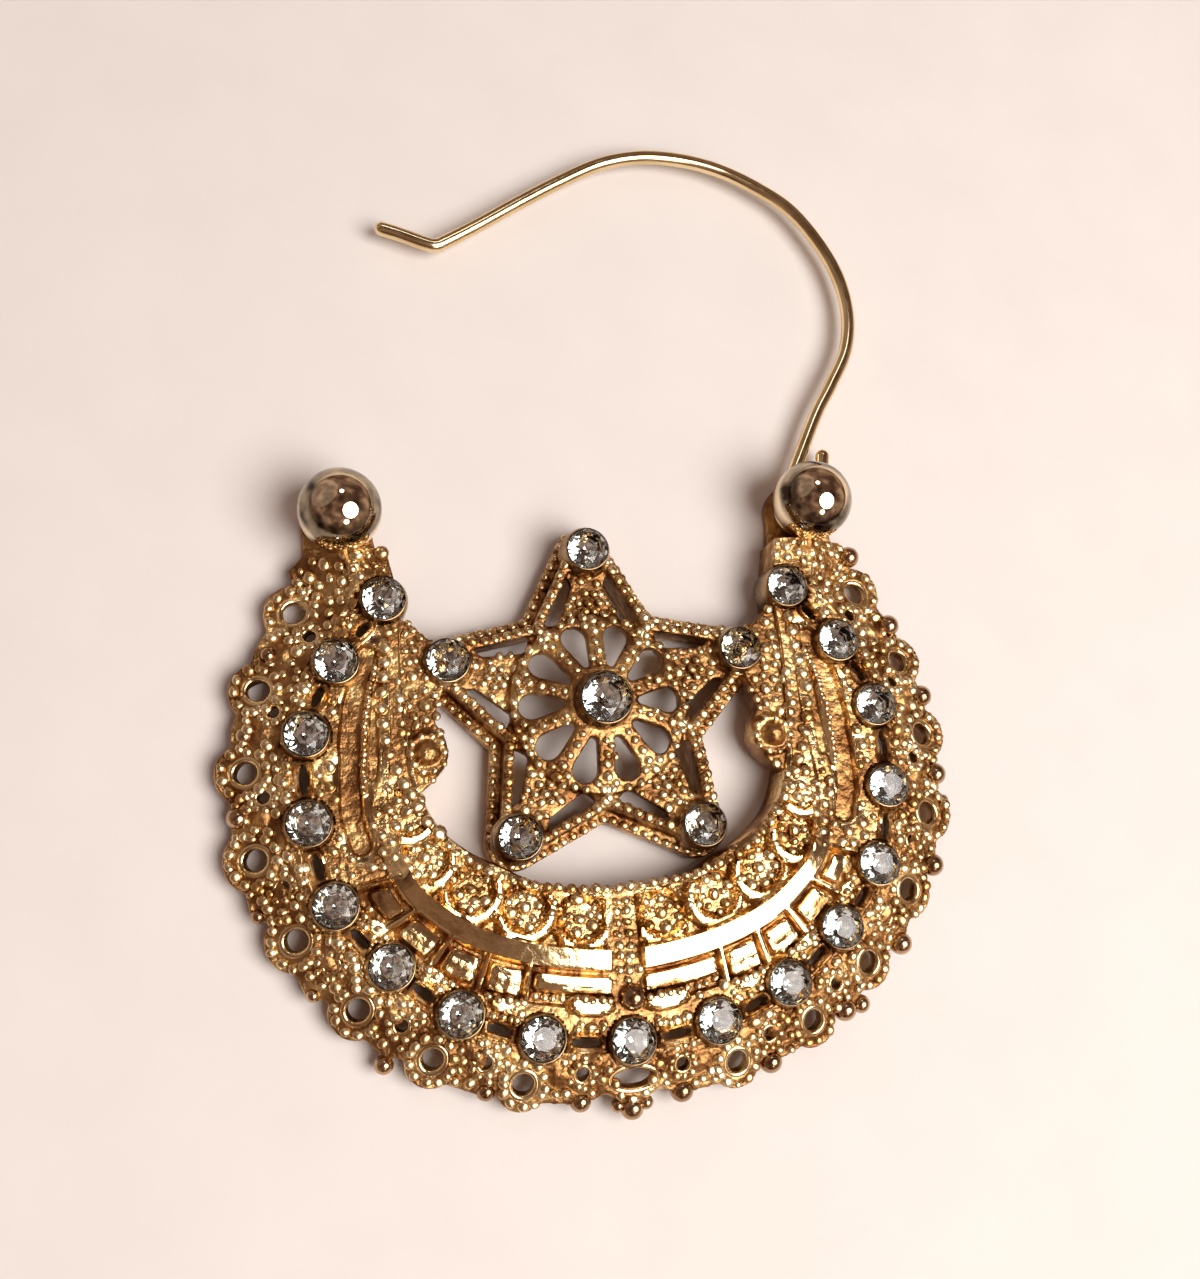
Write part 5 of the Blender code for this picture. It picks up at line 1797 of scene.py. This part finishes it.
def on_star_face(x, y, size):
    """Whether a granule lies on the face, clear of the petals, the gaps and the rim."""
    gone, angle = math.hypot(x, y), math.degrees(math.atan2(y, x))
    petal_angle = math.radians((angle + 18.0) % 36.0 - 18.0)
    u, v = gone * math.cos(petal_angle), abs(gone * math.sin(petal_angle))
    middle = PETAL["end"] - 0.5 * PETAL["width"]
    if gone < FLOWER["radius"] - 0.1:
        wide = np.interp(u, (PETAL["start"], middle), (PETAL["neck"], 0.5 * PETAL["width"]))
        clear = math.dist((u, v), (middle, 0.0)) > 0.5 * PETAL["width"] + 0.6 * size
        return gone > STAR_FILL["inside"] and clear and (u > middle or v > wide + 0.6 * size)
    arm_angle = math.radians((angle - 90.0 + 36.0) % 72.0 - 36.0)
    u, v = gone * math.cos(arm_angle), abs(gone * math.sin(arm_angle))
    (outer_u, outer_v), (inner_u, inner_v) = side_point(GAP[3]), side_point(GAP[2])
    edge = np.interp(u, (outer_u, inner_u), (outer_v, inner_v))
    return u < STAR_FILL["radius"] and v < edge - 0.5 * size


star_paths, star_loose = star_rows_and_ornaments()
star_taken = [(x, y, size) for x, y, z, size in star_loose]
star_fill = strewn(in_circle(STAR_FILL["radius"]), on_star_face, star_taken, STAR_FILL["sizes"],
                   STAR_FILL["tries"], STAR_FILL["seed"])
star_loose += [(x, y, star_web_top(x, y) + 0.05, size) for x, y, size in star_fill]
beads("star_beads", star_paths, star_loose, seed=7)

# %% [markdown]
# Beads on the bridges and in the middle
#
# A rosette sits on each bridge, a ring of beads runs round each lobe's ball, and a small lozenge of
# beads stands above the middle ball.

# %% Beads of the bridges and the lozenge
BRIDGE_ROSETTE = {"place": (9.3, 0.35), "core": 0.32, "petals": 8, "reach": 0.78, "size": 0.24}
LOBE_RING = {"inset": 0.16, "count": 10, "above": 0.12, "size": 0.2}
BRIDGE_FILL = {"x": (8.0, 11.2), "y": (-4.3, 5.4), "row_room": 0.95, "sizes": (0.2, 0.3), "tries": 1500,
               "seed": 27, "height": 2.47}
LOZENGE = {"place": (0.1, -13.85), "core": 0.28, "petals": 4, "reach": 0.48, "size": 0.22}


def inside(outline, x, y):
    """Whether a place lies inside an outline, by counting the sides to its right."""
    crossings = 0
    for (ax, ay), (bx, by) in zip(outline, outline[1:] + outline[:1]):
        if (ay > y) != (by > y) and x < ax + (y - ay) * (bx - ax) / (by - ay):
            crossings += 1
    return crossings % 2 == 1


def near_bridges(rng):
    """Random place on or near one of the two bridges."""
    return rng.choice((-1.0, 1.0)) * rng.uniform(*BRIDGE_FILL["x"]), rng.uniform(*BRIDGE_FILL["y"])


def on_bridge(x, y, size):
    """Whether a granule lies on a bridge, clear of the arm's row of larger beads."""
    return inside(BRIDGE, abs(x), y) and point_distance(INNER_ROW, x, y) > BRIDGE_FILL["row_room"]


def bridge_beads():
    loose = []
    for centre in both_sides([BRIDGE_ROSETTE["place"]]):
        loose += rosette(centre, 2.5, BRIDGE_ROSETTE)
    lobes = both_sides([LOBE["place"]])
    for centre in lobes:
        loose += [(*polar(LOBE["radius"] - LOBE_RING["inset"], 360.0 * n / LOBE_RING["count"], centre),
                   LOBE["high"] + LOBE_RING["above"], LOBE_RING["size"]) for n in range(LOBE_RING["count"])]
    taken = [(x, y, size) for x, y, z, size in loose] + [(x, y, LOBE["radius"]) for x, y in lobes]
    fill = strewn(near_bridges, on_bridge, taken, BRIDGE_FILL["sizes"], BRIDGE_FILL["tries"],
                  BRIDGE_FILL["seed"])
    loose += [(x, y, BRIDGE_FILL["height"], size) for x, y, size in fill]
    return loose + rosette(LOZENGE["place"], on_band([LOZENGE["place"]], 0.15)[0][2], LOZENGE)


beads("bridge_beads", [], bridge_beads(), seed=9)

# %% [markdown]
# Balls, posts and end plates
#
# Each end of the crescent ends in a thin round plate, with a post through the wire's eye and a
# polished ball on top. The ball is a true sphere with a flat seat, since a mirror shows every flaw.
# The photo's balls mirror a dark room nearly down to their rims, and these would mirror the pale
# floor there. An even, level belt of dark colour is painted round their shoulders to keep them dark,
# a painted dark reflection. It is written as their polish, which also carries painted light.

# %% Ball ends
POST = (13.1, 10.8)
BALL = {"radius": 2.2, "height": 3.2, "seat": 1.95, "sides": 72, "steps": 40}
BALL_POST = {"foot": 0.3, "radius": 0.5, "top": 1.8, "flare": 0.7}
PAINTED_DARK_BELT = {"from": 40.0, "to": 76.0, "soft": 6.0}
PLATE = {"radius": 1.9, "thickness": 0.55, "root": ((10.9, 7.6), (15.1, 7.6))}


def ball_profile():
    """Outline of a post with its ball, from the foot up, as radius and height."""
    low_angle = math.asin((BALL["seat"] - BALL["height"]) / BALL["radius"])
    angles = np.linspace(low_angle, 0.5 * math.pi, BALL["steps"])
    arc = [(BALL["radius"] * math.cos(a), BALL["height"] + BALL["radius"] * math.sin(a)) for a in angles]
    post = [(0.0, BALL_POST["foot"]), (BALL_POST["radius"], BALL_POST["foot"]),
            (BALL_POST["radius"], BALL_POST["top"]), (BALL_POST["flare"], BALL["seat"])]
    return post + [(arc[0][0] - 0.05, BALL["seat"])] + arc[:-1] + [(0.0, arc[-1][1])]


def outside_painted_belt(point):
    """1 where a ball is bright, 0 along the painted dark belt round its shoulder, a painted reflection."""
    turn = math.degrees(math.acos(max(-1.0, min(1.0, (point.z - BALL["height"]) / BALL["radius"]))))
    return 1.0 - rise(turn, PAINTED_DARK_BELT["from"], PAINTED_DARK_BELT["soft"]) * rise(-turn, -PAINTED_DARK_BELT["to"], PAINTED_DARK_BELT["soft"])


def end_balls():
    parts = []
    for place in (POST, (-POST[0], POST[1])):
        bm = bmesh.new()
        bm.from_mesh(turned_mesh(ball_profile(), BALL["sides"]))
        bmesh.ops.translate(bm, verts=bm.verts, vec=(*place, 0.0))
        parts.append(bm)
    mesh = mesh_from(join(parts))
    # The belt is painted dark into the polish attribute, a painted reflection of a dark room.
    write_values(mesh, "polish_and_painted_light", [outside_painted_belt(v.co) for v in mesh.vertices])
    return mesh


def end_plates():
    outline = list(PLATE["root"])
    outline += [polar(PLATE["radius"], a, POST) for a in np.arange(-20.0, 201.0, 8.0)]
    parts = [plate([points], 0.0, PLATE["thickness"]) for points in (outline, mirrored(outline))]
    item = linked(mesh_from(join(parts)))
    bevel = item.modifiers.new("edge", "BEVEL")
    bevel.width = 0.1
    bevel.segments = 3
    return evaluated(item)


finished("end_balls", end_balls(), ball_gold_painted_belt)
finished("end_plates", end_plates(), cast_gold)

# %% [markdown]
# Cut stones
#
# A round brilliant is the convex hull of a few rings of points: the table, the middle of the
# crown, the girdle and the point. The hull finds the facets by itself, and merging coplanar
# triangles leaves kites and stars. The crown's faces get glass and the back's faces get foil.

# %% Facets
CUT = {"table": 0.56, "middle": 0.82, "crown": 0.32, "middle_height": 0.19, "girdle": 0.045,
       "back_ring": 0.45, "back_height": 0.38, "back": 0.62}
STONE_FILL = 1.02
COPLANAR = math.radians(1.5)
SETTING = {"seed": 11, "turn": 45.0, "tilt": math.radians(2.0)}


def brilliant(radius, turn):
    """Faceted stone on the girdle's plane; its crown has the first material and its back the second."""
    rings = (
        (CUT["table"], CUT["girdle"] + CUT["crown"], 8, turn),
        (CUT["middle"], CUT["girdle"] + CUT["middle_height"], 8, turn + 22.5),
        (1.0, CUT["girdle"], 16, turn + 11.25),
        (1.0, -CUT["girdle"], 16, turn + 11.25),
        (CUT["back_ring"], -CUT["girdle"] - CUT["back_height"], 8, turn),
        (0.0, -CUT["girdle"] - CUT["back"], 1, 0.0),
    )
    bm = bmesh.new()
    for share, height, sides, first in rings:
        for n in range(sides):
            x, y = polar(share * radius, first + 360.0 * n / sides)
            bm.verts.new((x, y, height * radius))
    bmesh.ops.convex_hull(bm, input=bm.verts, use_existing_faces=False)
    bmesh.ops.dissolve_limit(bm, angle_limit=COPLANAR, verts=bm.verts, edges=bm.edges)
    bmesh.ops.recalc_face_normals(bm, faces=bm.faces)
    for face in bm.faces:
        face.material_index = 0 if face.calc_center_median().z > -0.5 * CUT["girdle"] * radius else 1
    return bm


def stone_piece(node, turn, tilt):
    """Stone in the place of its solid, turned and tilted a little as a setter leaves it."""
    lowest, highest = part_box(node)
    centre = ((lowest + highest) / 2 - STAR_MIDDLE) / MM
    radius = (highest.x - lowest.x) / 2 / MM
    girdle = lowest.z / MM + (CUT["back"] + CUT["girdle"]) * radius
    bm = brilliant(radius * STONE_FILL, turn)
    place = (Matrix.Translation((centre.x, centre.y, girdle)) @ Matrix.Rotation(tilt[0], 4, "X")
             @ Matrix.Rotation(tilt[1], 4, "Y"))
    bmesh.ops.transform(bm, matrix=place, verts=bm.verts)
    mesh = mesh_from(bm)
    mesh.materials.append(stone_glass)
    mesh.materials.append(stone_foil)
    return finished(node + "_cut", mesh, nodes=[node], sharp=math.radians(1.0))


rng = np.random.default_rng(SETTING["seed"])
for node in STONE_NODES + STAR_NODES + ["centre_stone"]:
    stone_piece(node, rng.uniform(0.0, SETTING["turn"]), rng.normal(0.0, SETTING["tilt"], 2))

# %% [markdown]
# Ear wire
#
# The wire is one round wire that bends round the post and ends in a kinked tail. A node tree
# sweeps a circle along its middle line, and the radius shrinks over the last points so that both
# ends are rounded like filed wire.

# %% Wire
WIRE_RADIUS = 0.4
WIRE_SIDES = 24
WIRE_HEIGHT = 1.25
EYE_RADIUS = 1.2
STUB_TIP = (14.95, 14.5)
WIRE_ARCH = ((13.35, 13.85), (14.8, 16.65), (16.0, 18.55), (17.2, 20.7), (17.65, 23.0), (17.35, 25.4),
             (16.4, 27.6), (14.9, 29.7), (13.0, 31.1), (10.7, 32.25), (8.3, 32.85), (5.8, 32.95), (3.3, 32.4),
             (0.8, 31.2), (-1.7, 29.8), (-4.3, 28.25), (-6.2, 27.2))
WIRE_TAIL = ((-6.75, 26.98), (-7.4, 27.12), (-8.9, 27.68), (-10.1, 28.05))


def tangent_angle(point, side):
    """Angle on the eye where a straight wire from the point touches it."""
    return direction(POST, point) + side * math.degrees(math.acos(EYE_RADIUS / math.dist(POST, point)))


def wire_line():
    """Middle line of the wire: its straight stub, the eye round the post, the arch and the tail."""
    start = tangent_angle(STUB_TIP, -1.0)
    sweep = start - (tangent_angle(WIRE_ARCH[0], 1.0) - 360.0)
    eye = [polar(EYE_RADIUS, start - sweep * n / 36, POST) for n in range(37)]
    rest = open_curve([eye[-1], *WIRE_ARCH, *WIRE_TAIL], 240)[1:]
    stub = [tuple(np.array(STUB_TIP) + (np.array(eye[0]) - STUB_TIP) * n / 8) for n in range(8)]
    return np.array(stub + eye + [tuple(p) for p in rest])


def rounded_ends(line):
    """The line with extra points near its ends, and the share of the radius at each."""
    steps = np.append(0.0, np.cumsum(np.hypot(*np.diff(line, axis=0).T)))
    cap = WIRE_RADIUS * (1.0 - np.cos(np.linspace(0.0, 0.5 * math.pi, 7)))
    between = steps[(steps > cap[-1]) & (steps < steps[-1] - cap[-1])]
    places = np.unique(np.concatenate([cap, between, steps[-1] - cap]))
    from_end = np.minimum(places, steps[-1] - places)
    share = np.sqrt(np.clip(1.0 - (1.0 - np.minimum(from_end / WIRE_RADIUS, 1.0)) ** 2, 0.0, 1.0))
    return np.stack([np.interp(places, steps, line[:, n]) for n in (0, 1)], 1), np.maximum(share, 0.02)


def sweep_tree():
    """A round section swept along a path, thinner where the path's size is less than 1."""
    sockets = (("Material", "Material"), ("Radius", "Float"), ("Sides", "Int"))
    tree, start, end = new_tree("swept_wire", sockets)
    line = add(tree, "GeometryNodeMeshToCurve", {"Mesh": start.outputs["Geometry"]})
    section = add(tree, "GeometryNodeCurvePrimitiveCircle",
                  {"Resolution": start.outputs["Sides"], "Radius": start.outputs["Radius"]})
    swept = add(tree, "GeometryNodeCurveToMesh",
                {"Curve": line.outputs["Curve"], "Profile Curve": section.outputs["Curve"],
                 "Scale": stored(tree, "size"), "Fill Caps": True})
    return coated(tree, start, end, swept.outputs["Mesh"])


line, shares = rounded_ends(wire_line())
wire_path = paths_mesh([{"points": [(x, y, WIRE_HEIGHT) for x, y in line], "size": shares}])
wire = grown(wire_path, sweep_tree(), {"Material": wire_gold, "Radius": WIRE_RADIUS, "Sides": WIRE_SIDES})
finished("hoop_wire", outward(wire), wire_gold, body="wire", nodes=["ear_wire"], sharp=None)

# %% [markdown]
# Floor
#
# A plain pale sheet, warm like blotting paper, lies just under the earring. It is stage only.

# %% Floor
FLOOR_HALF = 0.6
FLOOR_BELOW = 0.00001
PAPER = {"scale": 180.0, "detail": 4.0,
         "stops": ((0.3, (0.83, 0.77, 0.73, 1.0)), (0.7, (0.86, 0.8, 0.76, 1.0)))}


def floor_sheet():
    """Square sheet of paper just under the earring."""
    bm = bmesh.new()
    bmesh.ops.create_grid(bm, x_segments=1, y_segments=1, size=FLOOR_HALF)
    mesh = mesh_from(bm)
    mesh.transform(Matrix.Translation((0.0, 0.0, -FLOOR_BELOW)))
    material, tree, sockets = shader_of("paper", Roughness=0.75)
    grain = noise_of(tree, PAPER["scale"], PAPER["detail"])
    tree.links.new(ramp_of(tree, grain, PAPER["stops"]), sockets["Base Color"])
    mesh.materials.append(material)
    return linked(mesh, "floor")


floor_sheet()
print("floor:", 2 * FLOOR_HALF, "m square")

# %% Sizes
print("pieces:", len(PIECES), "triangles:", sum(len(p.data.loop_triangles) for p in PIECES))
